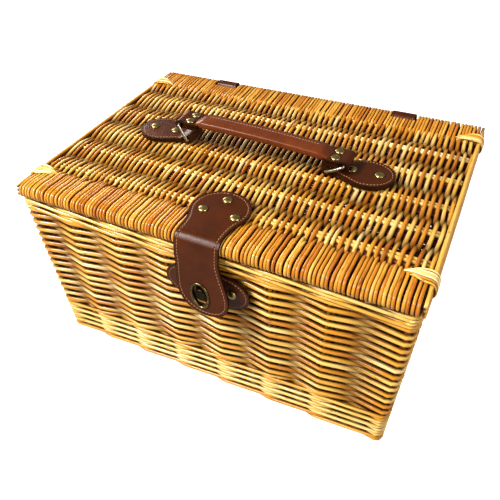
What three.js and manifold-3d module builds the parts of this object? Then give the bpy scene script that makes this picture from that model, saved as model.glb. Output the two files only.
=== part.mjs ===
// Willow picnic basket with a turn-lock clasp strap and a ring-hung leather handle.
// Millimetres, +Z up, +X to the right along the long side, -Y to the front.
// The origin is the middle of the face that the basket rests on.
import * as THREE from "three";
import { mergeVertices } from "three/addons/utils/BufferGeometryUtils.js";
import Module from "manifold-3d";

const wasm = await Module();
wasm.setup();

// Overall sizes
const lidLength = 400; // left to right
const lidDepth = 300; // front to back
const lidThickness = 15.5;
const bodyHeight = 184.2; // floor to the top of the rim
const lidOverhang = 2; // lid past the rim on each side
const endTaper = 18; // how far each end leans in at the floor
const sideTaper = 15; // how far the front and back lean in at the floor
const seat = 0.3; // gap between pieces that rest on each other

// Body
const cornerRadius = 9;
const wallThickness = 12.5;
const footHeight = 10;
const footWidth = 14;
const footRound = 3;
const rimBandHeight = 16.5;
const rimBandThickness = 13;
const stakeDiameter = 4.6;
const stakeInset = 6.4; // stake axis behind the outer face
const stakePitch = 53.4; // at the rim
const frontStakeShift = 18.8; // the stake nearest the middle of the front and back
const stakeClearOfPost = 12;
const postDiameter = 7.6;
const postInset = 8.2;
const innerCorner = 4;
const weaveLow = 46.6; // lowest plain row, above the lower band
const weavePitch = 4.6; // row to row
const rowDip = 3; // a row that passes behind a stake
const bayDip = 4; // every row, halfway between two stakes
const baseStickDiameter = 5.5;
const baseStickPitch = 78;

// Lid
const lidRodDiameter = 4.4;
const lidRodPitch = 4.2;
const lidRodHeight = 8.6; // rod axis above the lid's underside
const rodsInBundle = 3;
const bundleShares = [-0.653, -0.38, -0.107, 0.2, 0.493, 0.747]; // front to back, in half depths
const wrapFromEdge = 24; // where the edge wraps reach the lid's face
const lidDip = 0.112; // depth between two rows, per length from row to row
const sideRodDiameter = 4.5;
const sideRodPitch = 4.3;
const tieWidth = 12;
const tieThickness = 1.2;
const tieReach = 29; // how far a tie comes in over the lid
const tieShare = 0.773; // tie's middle, in half depths

// Leather hinges
const hingeX = 111;
const hingeWidth = 28;
const hingeLeather = 2.2;
const hingeTabReach = 17; // over the lid's back edge
const hingeLeafLength = 44;
const hingeRivetUp = 9; // above the leaf's lower end

// Handle, with its lid plates and rings
const handleX = -2.4; // middle between the ring pivots
const platePivotHalf = 76.2;
const plateLength = 64; // pivot to the round end
const plateWidth = 47;
const plateNeckWidth = 25;
const plateLeather = 2.2;
const platePinch = 13; // ring's bar to where the fold's layers meet
const plateRivetOffsets = [22.8, 49.3]; // from the ring's bar
const ringWire = 3.2;
const ringReach = 20; // between the ring's two bars
const ringHalfWidth = 14.8; // ring's middle to its side wire
const ringCorner = 3;
const ringPlay = 0.4;
const leftRingRise = 61; // degrees above the lid
const rightRingRise = 28;
const wrapLeather = 2.2;
const wrapLength = 22.4; // bar to the wrap's inner edge
const wrapRivetFromBar = 10.8;
const wrapRivetRow = 6.6; // each side of the handle's middle
const wrapWidth = 27;
const wrapNeckWidth = 24.6;
const wrapSlot = 0.6; // play along the handle at each bar
const wrapPinch = 9; // bar to where the wrap's layers lie flat
const burrDiameter = 6.4;
const burrThickness = 0.8;
const gripWidth = 24;
const gripHeight = 8.4;
const gripArch = 1.6;
const gripTailThickness = 1.4;

// Clasp strap
const strapX = 8;
const strapLeather = 2.4;
const strapWidth = 43.2;
const strapHeadRadius = 28.5;
const strapHeadFromEdge = 43;
const strapBendRadius = 8.3;
const strapBendForward = 1.2; // bend's centre in front of the lid edge's centre
const strapRivets = [
  [-16, -6],
  [0, 14.5],
  [16.5, -7],
]; // from the head's middle
const tongueLength = 68; // straight stretch below the bend
const tongueEndHalfWidth = 25.2;
const tongueLean = 0.2; // sideways drift per length below the waist
const tongueLeanStart = 12;

// Turn lock
const lockX = 12.5;
const lockBelowRim = 39.2;
const lockLean = 15; // degrees
const patchLength = 84;
const patchHeight = 43;
const patchLeather = 2;
const patchRivetHalf = 25;
const lockPlateThickness = 0.8;
const lockPlateWidth = 14.5;
const lockPlateHeight = 22;
const eyeletWidth = 19;
const eyeletHeight = 27;
const eyeletLip = 0.4; // metal flange on each face of the strap
const eyeletFlange = 1.5; // flange past the barrel
const eyeletWall = 0.9;
const knobWidth = 12;
const knobHeight = 20;
const knobEdge = 0.8;
const knobDome = 0.8;
const knobGap = 0.9; // between the knob and the pieces that pass it
const stemDiameter = 4;
const collarDiameter = 8;
const prongWidth = 3.2;
const prongThickness = 0.8;
const prongHalf = 8.5;
const prongFoot = 4.5; // length of the bent end
const washerThickness = 0.8;
const washerWidth = 14;
const washerPastProng = 4;

// Rivets
const rivetHead = 9;
const rivetDome = 2.2;
const rivetShank = 3;
const rivetPlay = 0.25;
const rivetBite = 3.8; // depth into the lid's weave
const wallRivetBite = 7.5; // depth into the wall's weave
const rivetFacets = 10;

// Derived places
const lockZ = bodyHeight - lockBelowRim;
const rimHalfX = lidLength / 2 - lidOverhang;
const rimHalfY = lidDepth / 2 - lidOverhang;
const lidBottom = bodyHeight + seat;
const lidTop = lidBottom + lidThickness;
const lidEdgeRadius = lidThickness / 2;
const bundleRows = bundleShares.map((share) => (share * lidDepth) / 2);
const tieRow = (tieShare * lidDepth) / 2;
const ringBore = ringWire / 2 + ringPlay;
const rimBandZ = bodyHeight - rimBandHeight;
const wallTilt = Math.atan(sideTaper / bodyHeight);
const sideRodZone = sideRodDiameter + seat;
const degrees = THREE.MathUtils.degToRad;

// Finishes
const finish = (color, roughness, metalness = 0) =>
  new THREE.MeshStandardMaterial({ color, roughness, metalness });
const willow = finish(0xc98a3c, 0.55);
const goldenWillow = finish(0xd9a24f, 0.5);
const paleWillow = finish(0xe9c98a, 0.6);
const darkWillow = finish(0xa8692c, 0.6);
const leather = finish(0x5b2a1b, 0.38);
const gripLeather = finish(0x6b3022, 0.34);
const brass = finish(0xa48d4f, 0.35, 0.9);
const steel = finish(0xb9b3a4, 0.3, 0.95);

// Solids

function solid(geometry, matrix) {
  const bare = (geometry.index ? geometry.toNonIndexed() : geometry.clone())
    .deleteAttribute("normal")
    .deleteAttribute("uv");
  if (matrix) bare.applyMatrix4(matrix);
  const merged = mergeVertices(bare, 1e-4);
  return new wasm.Manifold(
    new wasm.Mesh({
      numProp: 3,
      vertProperties: merged.attributes.position.array,
      triVerts: new Uint32Array(merged.index.array),
    }),
  );
}

function geometryOf(body) {
  const mesh = body.getMesh();
  const geometry = new THREE.BufferGeometry()
    .setAttribute("position", new THREE.BufferAttribute(mesh.vertProperties, 3))
    .setIndex(new THREE.BufferAttribute(mesh.triVerts, 1));
  const flat = geometry.toNonIndexed();
  flat.computeVertexNormals();
  return flat;
}

const joined = (first, ...more) => more.reduce((sum, next) => sum.add(next), first);
const without = (first, ...cuts) => cuts.reduce((rest, next) => rest.subtract(next), first);

function piece(name, body, material) {
  const mesh = new THREE.Mesh(geometryOf(body), material);
  mesh.name = name;
  return mesh;
}

function frameAt(x, y, z, rx = 0, ry = 0, rz = 0) {
  const group = new THREE.Group();
  group.position.set(x, y, z);
  group.rotation.set(rx, ry, rz);
  group.updateMatrix();
  return group;
}

// Solid through rings that all have the same number of points
function loft(rings, closed = false) {
  const count = rings[0].length;
  const points = rings.flat();
  const faces = [];
  const steps = closed ? rings.length : rings.length - 1;
  for (let i = 0; i < steps; i += 1) {
    const low = i * count;
    const high = ((i + 1) % rings.length) * count;
    for (let j = 0; j < count; j += 1) {
      const k = (j + 1) % count;
      faces.push(low + j, low + k, high + k, low + j, high + k, high + j);
    }
  }
  if (!closed) {
    const last = (rings.length - 1) * count;
    for (let j = 1; j < count - 1; j += 1) {
      faces.push(0, j + 1, j, last, last + j, last + j + 1);
    }
  }
  const flat = new Float32Array(points.flatMap((p) => [p.x, p.y, p.z]));
  const geometry = new THREE.BufferGeometry()
    .setAttribute("position", new THREE.BufferAttribute(flat, 3))
    .setIndex(faces);
  const body = solid(geometry);
  if (body.volume() >= 0) return body;
  for (let i = 0; i < faces.length; i += 3) {
    [faces[i + 1], faces[i + 2]] = [faces[i + 2], faces[i + 1]];
  }
  return solid(geometry.setIndex(faces));
}

function rectangleRing(halfX, halfY, radius, z, steps = 4) {
  const points = [];
  for (let corner = 0; corner < 4; corner += 1) {
    const signX = corner === 0 || corner === 3 ? 1 : -1;
    const signY = corner < 2 ? 1 : -1;
    for (let i = 0; i <= steps; i += 1) {
      const angle = (Math.PI / 2) * (corner + i / steps);
      points.push(
        new THREE.Vector3(
          signX * (halfX - radius) + radius * Math.cos(angle),
          signY * (halfY - radius) + radius * Math.sin(angle),
          z,
        ),
      );
    }
  }
  return points;
}

// The body's outline at a height, moved in by an inset
const halfXAt = (z) => rimHalfX - endTaper * (1 - z / bodyHeight);
const halfYAt = (z) => rimHalfY - sideTaper * (1 - z / bodyHeight);
const bodyRing = (z, inset = 0, radius = cornerRadius, steps = 4) =>
  rectangleRing(halfXAt(z) - inset, halfYAt(z) - inset, radius, z, steps);

function rod(from, to, diameter, sides = 8) {
  const axis = new THREE.Vector3().subVectors(to, from);
  const turn = new THREE.Quaternion().setFromUnitVectors(
    new THREE.Vector3(0, 1, 0),
    axis.clone().normalize(),
  );
  const middle = new THREE.Vector3().addVectors(from, to).multiplyScalar(0.5);
  const place = new THREE.Matrix4().compose(middle, turn, new THREE.Vector3(1, 1, 1));
  const shape = new THREE.CylinderGeometry(diameter / 2, diameter / 2, axis.length(), sides);
  return solid(shape, place);
}

const point = (x, y, z) => new THREE.Vector3(x, y, z);

// A leaning stick with level ends
function upright(low, high, diameter, sides) {
  const ring = (centre) =>
    Array.from({ length: sides }, (_, i) => {
      const angle = (2 * Math.PI * i) / sides;
      const out = point(Math.cos(angle), Math.sin(angle), 0);
      return centre.clone().addScaledVector(out, diameter / 2);
    });
  return loft([ring(low), ring(high)]);
}

function box(x0, x1, y0, y1, z0, z1) {
  const shape = new THREE.BoxGeometry(x1 - x0, y1 - y0, z1 - z0);
  return solid(shape.translate((x0 + x1) / 2, (y0 + y1) / 2, (z0 + z1) / 2));
}

function extrude(shape, depth, curveSegments = 8) {
  return new THREE.ExtrudeGeometry(shape, { depth, curveSegments, bevelEnabled: false });
}

// A shape in plan, standing from z0 to z1
const plate = (shape, z0, z1, curveSegments = 8) =>
  solid(extrude(shape, z1 - z0, curveSegments).translate(0, 0, z0));

// A side profile drawn as (x, z), running from y0 to y1
const alongY = (shape, y0, y1, curveSegments = 8) =>
  solid(extrude(shape, y1 - y0, curveSegments).rotateX(Math.PI / 2).translate(0, y1, 0));

// A side profile drawn as (y, z), running from x0 to x1
const alongX = (shape, x0, x1, curveSegments = 8) =>
  solid(
    extrude(shape, x1 - x0, curveSegments)
      .rotateX(Math.PI / 2)
      .rotateZ(Math.PI / 2)
      .translate(x0, 0, 0),
  );

function outline(points) {
  return new THREE.Shape(points.map(([x, y]) => new THREE.Vector2(x, y)));
}

function ellipse(width, height, lean = 0) {
  const shape = new THREE.Shape();
  shape.absellipse(0, 0, width / 2, height / 2, 0, 2 * Math.PI, false, lean);
  return shape;
}

function stadium(length, width) {
  const shape = new THREE.Shape();
  const straight = (length - width) / 2;
  shape.absarc(straight, 0, width / 2, -Math.PI / 2, Math.PI / 2, false);
  shape.absarc(-straight, 0, width / 2, Math.PI / 2, 1.5 * Math.PI, false);
  return shape;
}

// Rivet along local Z: domed head above z = 0, shank down to the given depth
function rivet(depth, tailDiameter = 0, tailThickness = 0) {
  const profile = [
    [0, rivetDome],
    [rivetHead * 0.28, rivetDome * 0.82],
    [rivetHead * 0.44, rivetDome * 0.4],
    [rivetHead / 2, 0],
    [rivetShank / 2, 0],
  ];
  if (tailDiameter) {
    profile.push([rivetShank / 2, tailThickness - depth], [tailDiameter / 2, tailThickness - depth]);
    profile.push([tailDiameter / 2, -depth], [0, -depth]);
  } else {
    profile.push([rivetShank / 2, -depth], [0, -depth]);
  }
  const points = profile.map(([x, y]) => new THREE.Vector2(x, y)).reverse();
  return solid(new THREE.LatheGeometry(points, rivetFacets).rotateX(Math.PI / 2));
}

function rivetHole(x, y, z0, z1) {
  return rod(point(x, y, z0), point(x, y, z1), rivetShank + 2 * rivetPlay, rivetFacets);
}

// The clasp's places are needed by the wall, the lid and the strap
const wallYAtLock = -halfYAt(lockZ);
const lockFrame = () => frameAt(lockX, wallYAtLock, lockZ, wallTilt, 0, 0);
const patchTop = seat + patchLeather;
const lockPlateTop = patchTop + seat + lockPlateThickness;
const eyeletProud = seat + eyeletLip;
const engagedBack = lockPlateTop + knobGap + eyeletProud;
const knobUnder = engagedBack + strapLeather + eyeletProud + knobGap;
const knobTop = knobUnder + knobEdge + knobDome;
const restBack = knobTop + eyeletProud + knobGap;
const bendY = -lidDepth / 2 + lidEdgeRadius - strapBendForward;
const bendZ = lidTop + seat - strapBendRadius;
const tongueBackY = wallYAtLock - restBack / Math.cos(wallTilt);
const tongueHang = Math.atan((bendY - strapBendRadius - tongueBackY) / (bendZ - lockZ));
const splitAngle = degrees(45);
const bendOuter = strapBendRadius + strapLeather;
const claspAxisY = bendY - bendOuter * Math.cos(splitAngle);
const claspAxisZ = bendZ + bendOuter * Math.sin(splitAngle);

// Body

function prongSlots() {
  return [-1, 1].map((side) =>
    box(
      -prongWidth / 2 - seat,
      prongWidth / 2 + seat,
      -lockPlateTop - 1,
      wallThickness + 4,
      side * prongHalf - prongThickness / 2 - seat,
      side * prongHalf + prongThickness / 2 + seat,
    ),
  );
}

// Places along a wall, at the rim, of the stakes that fit between its two corner posts
function stakePlaces(rimHalf, shift) {
  const post = postInset + postDiameter / 2 + stakeClearOfPost + stakeDiameter / 2;
  const reach = rimHalf - post;
  const places = [];
  for (let i = Math.ceil((-reach - shift) / stakePitch); shift + i * stakePitch <= reach; i += 1) {
    places.push(shift + i * stakePitch);
  }
  return places;
}

// Lines of the upright stakes, from just above the foot to inside the rim band
function stakeLines() {
  const low = footHeight + 2 * seat;
  const high = bodyHeight - rimBandHeight / 2;
  const lines = [];
  for (const side of [-1, 1]) {
    for (const place of stakePlaces(rimHalfX, frontStakeShift)) {
      const at = (z) =>
        point((place * halfXAt(z)) / rimHalfX, side * (halfYAt(z) - stakeInset), z);
      lines.push([at(low), at(high)]);
    }
    for (const place of stakePlaces(rimHalfY, 0)) {
      const at = (z) =>
        point(side * (halfXAt(z) - stakeInset), (place * halfYAt(z)) / rimHalfY, z);
      lines.push([at(low), at(high)]);
    }
  }
  return lines;
}

function postLines(low, high) {
  const at = (sx, sy, z) =>
    point(sx * (halfXAt(z) - postInset), sy * (halfYAt(z) - postInset), z);
  return [
    [-1, -1],
    [1, -1],
    [-1, 1],
    [1, 1],
  ].map(([sx, sy]) => [at(sx, sy, low), at(sx, sy, high)]);
}

function makeBase(basket) {
  const inset = footWidth + seat;
  const stickY = [-baseStickPitch, 0, baseStickPitch];
  const stickHalf = halfXAt(0) - inset;
  const panel = loft([bodyRing(0, inset, 4, 2), bodyRing(footHeight, inset, 4, 2)]);
  const bores = stickY.map((y) =>
    rod(
      point(-stickHalf - 9, y, footHeight / 2),
      point(stickHalf + 9, y, footHeight / 2),
      baseStickDiameter + 2 * seat,
    ),
  );
  basket.add(piece("base_weave", without(panel, ...bores), willow));
  stickY.forEach((y, i) => {
    const stick = rod(
      point(-stickHalf, y, footHeight / 2),
      point(stickHalf, y, footHeight / 2),
      baseStickDiameter,
    );
    basket.add(piece(`base_stick_${i + 1}`, stick, darkWillow));
  });
  const outer = loft([
    bodyRing(0, footRound * 0.8),
    bodyRing(footRound * 0.4, footRound * 0.2),
    bodyRing(footRound, 0),
    bodyRing(footHeight, 0),
  ]);
  const inner = loft([bodyRing(-1, footWidth, 4, 2), bodyRing(footHeight + 1, footWidth, 4, 2)]);
  basket.add(piece("foot_border", without(outer, inner), goldenWillow));
}

// The wall's outer face at a height, from the front left corner round. It dips by a depth at each
// stake or post, counted from 0, and by another halfway between two.
function wallRing(z, dipAt, betweenDip) {
  const points = [];
  let count = 0;
  for (let side = 0; side < 4; side += 1) {
    const long = side % 2 === 0;
    const half = long ? halfXAt(z) : halfYAt(z);
    const face = long ? halfYAt(z) : halfXAt(z);
    const rimHalf = long ? rimHalfX : rimHalfY;
    const way = side < 2 ? 1 : -1;
    const stakes = stakePlaces(rimHalf, long ? frontStakeShift : 0)
      .map((place) => (way * place * half) / rimHalf)
      .sort((a, b) => a - b);
    const put = (along, out) =>
      points.push(point(along, -out, z).applyAxisAngle(point(0, 0, 1), (Math.PI / 2) * side));
    const radius = cornerRadius - dipAt(count);
    for (const turn of [0, Math.PI / 4, Math.PI / 2]) {
      const along = cornerRadius - half - radius * Math.cos(turn);
      put(along, face - cornerRadius + radius * Math.sin(turn));
    }
    let last = postInset - half;
    for (const stake of stakes) {
      count += 1;
      put((last + stake) / 2, face - betweenDip);
      put(stake, face - dipAt(count));
      last = stake;
    }
    count += 1;
    put((last + half - postInset) / 2, face - betweenDip);
  }
  return points;
}

// Plain weave: each row passes a stake on the other side from the row below
function wovenWall(low, high) {
  const level = () => 0;
  const rings = [wallRing(low, level, 0), wallRing(weaveLow - weavePitch, level, 0)];
  for (let row = 0; weaveLow + (row + 1) * weavePitch < high; row += 1) {
    const dipAt = (count) => ((count + row) % 2 ? rowDip : 0);
    rings.push(wallRing(weaveLow + row * weavePitch, dipAt, bayDip));
  }
  rings.push(wallRing(high, level, 0));
  return loft(rings);
}

function makeWall(basket) {
  const low = footHeight + seat;
  const high = rimBandZ - seat;
  const outer = wovenWall(low, high);
  const inner = loft([
    bodyRing(low - 1, wallThickness, innerCorner, 1),
    bodyRing(high + 1, wallThickness, innerCorner, 1),
  ]);
  const grooves = stakeLines().map(([a, b]) => upright(a, b, stakeDiameter + 2 * seat, 6));
  const bores = postLines(low - 1, high + 1).map(([a, b]) =>
    upright(a, b, postDiameter + 2 * seat, 10),
  );
  const lock = lockFrame();
  const patchHoles = [-1, 1].map((side) =>
    rod(
      point(side * patchRivetHalf, -1, 0),
      point(side * patchRivetHalf, wallRivetBite + 1, 0),
      rivetShank + 2 * rivetPlay,
      rivetFacets,
    ),
  );
  const cuts = [...prongSlots(), ...patchHoles].map((cut) =>
    cut.transform(lock.matrix.toArray()),
  );
  const hingeHoles = [-hingeX, hingeX].map((x) =>
    rivetHole(0, 0, -wallRivetBite - seat, 1).transform(hingeRivetFrame(x).matrix.toArray()),
  );
  const shell = without(outer, inner, ...grooves, ...bores, ...cuts, ...hingeHoles);
  basket.add(piece("wall_weave", shell, willow));

  const band = without(
    loft([
      bodyRing(rimBandZ),
      bodyRing(bodyHeight - 2.5),
      bodyRing(bodyHeight - 0.8, 0.7),
      bodyRing(bodyHeight, 2.2),
    ]),
    loft([
      bodyRing(rimBandZ - 1, rimBandThickness, innerCorner, 1),
      bodyRing(bodyHeight + 1, rimBandThickness, innerCorner, 1),
    ]),
  );
  const stakes = stakeLines().map(([a, b]) => upright(a, b, stakeDiameter, 6));
  basket.add(piece("stakes_and_rim", joined(band, ...stakes), goldenWillow));

  const names = ["front_left", "front_right", "back_left", "back_right"];
  postLines(low + seat, high).forEach(([a, b], i) => {
    basket.add(piece(`corner_post_${names[i]}`, upright(a, b, postDiameter, 10), darkWillow));
  });
}

// Leather hinges

// On the back wall's outer face: local +Z points out of the wall
function hingeRivetFrame(x) {
  const z = bodyHeight - hingeLeafLength + hingeRivetUp;
  return frameAt(x, halfYAt(z), z, -Math.PI / 2 - wallTilt);
}

function hingeSlot(x) {
  const y = lidDepth / 2 - hingeTabReach;
  return box(
    x - hingeWidth / 2 - seat,
    x + hingeWidth / 2 + seat,
    y - seat,
    y + hingeLeather + seat,
    -1,
    lidThickness + 1,
  );
}

// Leather threaded down through the lid and over its back edge, seen from the end
function hingeTabProfile() {
  const back = lidDepth / 2 + seat;
  const top = lidThickness + seat;
  const inner = lidDepth / 2 - hingeTabReach;
  const bend = 3;
  const shape = new THREE.Shape();
  shape.moveTo(inner, 2.5);
  shape.lineTo(inner, top + hingeLeather - bend);
  shape.quadraticCurveTo(inner, top + hingeLeather, inner + bend, top + hingeLeather);
  shape.lineTo(back + hingeLeather - 2 * bend, top + hingeLeather);
  shape.quadraticCurveTo(
    back + hingeLeather,
    top + hingeLeather,
    back + hingeLeather,
    top + hingeLeather - 2 * bend,
  );
  shape.lineTo(back + hingeLeather, seat);
  shape.lineTo(back, seat);
  shape.lineTo(back, top - 1);
  shape.lineTo(back - 1, top);
  shape.lineTo(inner + hingeLeather, top);
  shape.lineTo(inner + hingeLeather, 2.5);
  return shape;
}

function makeHingeLeaf(basket, name, x) {
  const top = bodyHeight - 1.8;
  const bottom = bodyHeight - hingeLeafLength;
  const inner = seat / Math.cos(wallTilt);
  const outer = inner + hingeLeather;
  const profile = outline([
    [halfYAt(bottom) + inner, bottom],
    [halfYAt(bottom) + outer, bottom],
    [halfYAt(top) + outer, top],
    [halfYAt(top) + inner, top],
  ]);
  const strip = alongX(profile, x - hingeWidth / 2, x + hingeWidth / 2);
  const frame = hingeRivetFrame(x);
  const hole = rivetHole(0, 0, -1, hingeLeather + 2).transform(frame.matrix.toArray());
  basket.add(piece(`hinge_leaf_${name}`, without(strip, hole), leather));
  const spot = frameAt(0, 0, hingeLeather + 2 * seat);
  spot.add(piece(`hinge_rivet_${name}`, rivet(hingeLeather + 2 * seat + wallRivetBite), brass));
  frame.add(spot);
  basket.add(frame);
}

// Lid

function tieProfile(grow) {
  const out = lidLength / 2 + seat;
  const inner = lidLength / 2 - tieReach;
  const low = 0.4;
  const top = lidThickness + seat;
  const bend = 2;
  const x0 = inner - grow;
  const x1 = out + tieThickness + grow;
  const z0 = low - grow;
  const z1 = top + tieThickness + grow;
  const shape = outline([
    [x0, z0],
    [x1 - bend, z0],
    [x1, z0 + bend],
    [x1, z1 - bend],
    [x1 - bend, z1],
    [x0, z1],
  ]);
  const wall = tieThickness + 2 * grow;
  shape.holes.push(
    outline([
      [x0 + wall, z0 + wall],
      [x0 + wall, z1 - wall],
      [x1 - wall - bend / 2, z1 - wall],
      [x1 - wall, z1 - wall - bend / 2],
      [x1 - wall, z0 + wall + bend / 2],
      [x1 - wall - bend / 2, z0 + wall],
    ]),
  );
  return shape;
}

const mirrorX = (body) => body.mirror([1, 0, 0]);

// A row that meets the corner ties stops short of them
function bundleHalf(y) {
  const width = (rodsInBundle - 1) * lidRodPitch + lidRodDiameter;
  const meets = Math.abs(Math.abs(y) - tieRow) < (width + tieWidth) / 2 + 2 * seat;
  return meets ? lidLength / 2 - tieReach - 3 * seat : lidLength / 2 - sideRodZone - 2 * seat;
}

function bundle(y, halfLength, grow) {
  const first = (-(rodsInBundle - 1) / 2) * lidRodPitch;
  const rods = [];
  for (let i = 0; i < rodsInBundle; i += 1) {
    const at = y + first + i * lidRodPitch;
    rods.push(
      rod(
        point(-halfLength, at, lidRodHeight),
        point(halfLength, at, lidRodHeight),
        lidRodDiameter + 2 * grow,
      ),
    );
  }
  return joined(...rods);
}

function lidTies(grow) {
  const ties = {};
  for (const [yName, side] of [
    ["front", -1],
    ["back", 1],
  ]) {
    const y = side * tieRow;
    const right = alongY(tieProfile(grow), y - tieWidth / 2 - grow, y + tieWidth / 2 + grow);
    ties[`${yName}_right`] = right;
    ties[`${yName}_left`] = mirrorX(right);
  }
  return ties;
}

// The lid's side outline: round edges, and a face that rises over each bundle and dips between them
function lidProfile() {
  const straight = lidDepth / 2 - lidEdgeRadius;
  const side = new THREE.Shape();
  side.absarc(straight, lidEdgeRadius, lidEdgeRadius, -Math.PI / 2, Math.PI / 2, false);
  const wrap = lidDepth / 2 - wrapFromEdge;
  const rows = [wrap, ...bundleRows.toReversed(), -wrap];
  const steps = 4;
  for (let i = 0; i + 1 < rows.length; i += 1) {
    const bay = rows[i] - rows[i + 1];
    for (let j = 0; j < steps; j += 1) {
      const dip = lidDip * bay * (1 - Math.abs(Math.cos((Math.PI * j) / steps)));
      side.lineTo(rows[i] - (bay * j) / steps, lidThickness - dip);
    }
  }
  side.lineTo(-wrap, lidThickness);
  side.absarc(-straight, lidEdgeRadius, lidEdgeRadius, Math.PI / 2, 1.5 * Math.PI, false);
  return side;
}

function makeLid(lid) {
  const panelHalf = lidLength / 2 - sideRodZone;
  const side = lidProfile();
  const panel = alongX(side, -panelHalf, panelHalf, 8);
  const bores = bundleRows.map((y) => bundle(y, panelHalf + 1, seat));
  const slots = [hingeSlot(-hingeX), hingeSlot(hingeX)];
  const channels = Object.values(lidTies(seat));
  const underTies = [-1, 1].map((s) =>
    [-1, 1].map((t) =>
      box(
        Math.min(s * (lidLength / 2 - tieReach - seat), s * (lidLength / 2)),
        Math.max(s * (lidLength / 2 - tieReach - seat), s * (lidLength / 2)),
        t * tieRow - tieWidth / 2 - seat,
        t * tieRow + tieWidth / 2 + seat,
        -1,
        1,
      ),
    ),
  );
  const holes = [...plateRivetPlaces(), ...strapRivetPlaces()].map(([x, y]) =>
    rivetHole(x, y, lidThickness - rivetBite - seat, lidThickness + 1),
  );
  const weave = without(panel, ...bores, ...slots, ...channels, ...underTies.flat(), ...holes);
  lid.add(piece("lid_weave", weave, willow));

  bundleRows.forEach((y, i) => {
    lid.add(piece(`lid_rods_${i + 1}`, bundle(y, bundleHalf(y), 0), paleWillow));
  });

  for (const [name, s] of [
    ["left", -1],
    ["right", 1],
  ]) {
    const x = s * (lidLength / 2 - sideRodDiameter / 2);
    const rods = [-1, 0, 1].map((i) =>
      rod(
        point(x, -lidDepth / 2 + 3, lidEdgeRadius + 0.75 + i * sideRodPitch),
        point(x, lidDepth / 2 - 3, lidEdgeRadius + 0.75 + i * sideRodPitch),
        sideRodDiameter,
      ),
    );
    lid.add(piece(`lid_side_rods_${name}`, joined(...rods), goldenWillow));
  }
  for (const [name, tie] of Object.entries(lidTies(0))) {
    lid.add(piece(`corner_tie_${name}`, tie, paleWillow));
  }
  for (const [name, x] of [
    ["left", -hingeX],
    ["right", hingeX],
  ]) {
    const tab = alongX(hingeTabProfile(), x - hingeWidth / 2, x + hingeWidth / 2, 4);
    lid.add(piece(`hinge_tab_${name}`, tab, leather));
  }
}

// Handle plates on the lid, in the lid's frame

const plateSides = [
  ["left", -1],
  ["right", 1],
];
const platePivotZ = lidThickness + seat + plateLeather + ringBore;

function plateRivetPlaces() {
  return plateSides.flatMap(([, s]) =>
    plateRivetOffsets.map((d) => [handleX + s * (platePivotHalf + d), 0]),
  );
}

// Leather folded round a bar at the origin, in (length, height): the fold points to -length
function foldProfile(leatherThickness, boreExtra, length, pinch, dropTo) {
  const bore = ringBore;
  const outer = bore + leatherThickness;
  const start = -boreExtra;
  const shape = new THREE.Shape();
  shape.moveTo(start, -outer);
  shape.lineTo(length, -outer);
  shape.lineTo(length, dropTo);
  shape.lineTo(pinch, dropTo);
  shape.bezierCurveTo(pinch - 3, dropTo, boreExtra + 3, outer, boreExtra, outer);
  shape.lineTo(start, outer);
  shape.absarc(start, 0, outer, Math.PI / 2, 1.5 * Math.PI, false);
  const hole = new THREE.Path();
  hole.moveTo(start, bore);
  hole.lineTo(boreExtra, bore);
  hole.quadraticCurveTo(boreExtra + bore, bore, pinch - 1.5, dropTo - leatherThickness - 0.4);
  hole.quadraticCurveTo(boreExtra + bore, -bore, boreExtra, -bore);
  hole.lineTo(start, -bore);
  hole.absarc(start, 0, bore, 1.5 * Math.PI, Math.PI / 2, true);
  shape.holes.push(hole);
  return shape;
}

function plateOutline() {
  const neck = plateNeckWidth / 2;
  const belly = plateWidth / 2;
  const far = plateLength;
  const shape = new THREE.Shape();
  shape.moveTo(-8, -neck);
  shape.lineTo(5, -neck);
  shape.bezierCurveTo(14, -neck - 1, 20, -belly, far * 0.56, -belly);
  shape.bezierCurveTo(far * 0.84, -belly, far, -belly * 0.55, far, 0);
  shape.bezierCurveTo(far, belly * 0.55, far * 0.84, belly, far * 0.56, belly);
  shape.bezierCurveTo(20, belly, 14, neck + 1, 5, neck);
  shape.lineTo(-8, neck);
  return shape;
}

function makePlates(lid) {
  const outer = ringBore + plateLeather;
  const flatTop = -outer + 2 * plateLeather;
  const profile = foldProfile(plateLeather, 0, plateLength + 5, platePinch, flatTop);
  const strip = alongY(profile, -plateWidth, plateWidth, 6);
  const body = strip.intersect(plate(plateOutline(), -20, 20, 7));
  const holes = plateRivetOffsets.map((d) => rivetHole(d, 0, -outer - 1, flatTop + 1));
  const cut = without(body, ...holes);
  for (const [name, s] of plateSides) {
    const frame = frameAt(handleX + s * platePivotHalf, 0, platePivotZ);
    frame.add(piece(`handle_plate_${name}`, s > 0 ? cut : mirrorX(cut), leather));
    plateRivetOffsets.forEach((d, i) => {
      const seatZ = flatTop + seat;
      const rivetFrame = frameAt(s * d, 0, seatZ);
      const depth = seatZ + outer + seat + rivetBite;
      rivetFrame.add(piece(`plate_rivet_${name}_${i + 1}`, rivet(depth), brass));
      frame.add(rivetFrame);
    });
    lid.add(frame);
  }
}

// Rings: local Z runs from the lower bar to the upper bar, the bars run along Y

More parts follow.
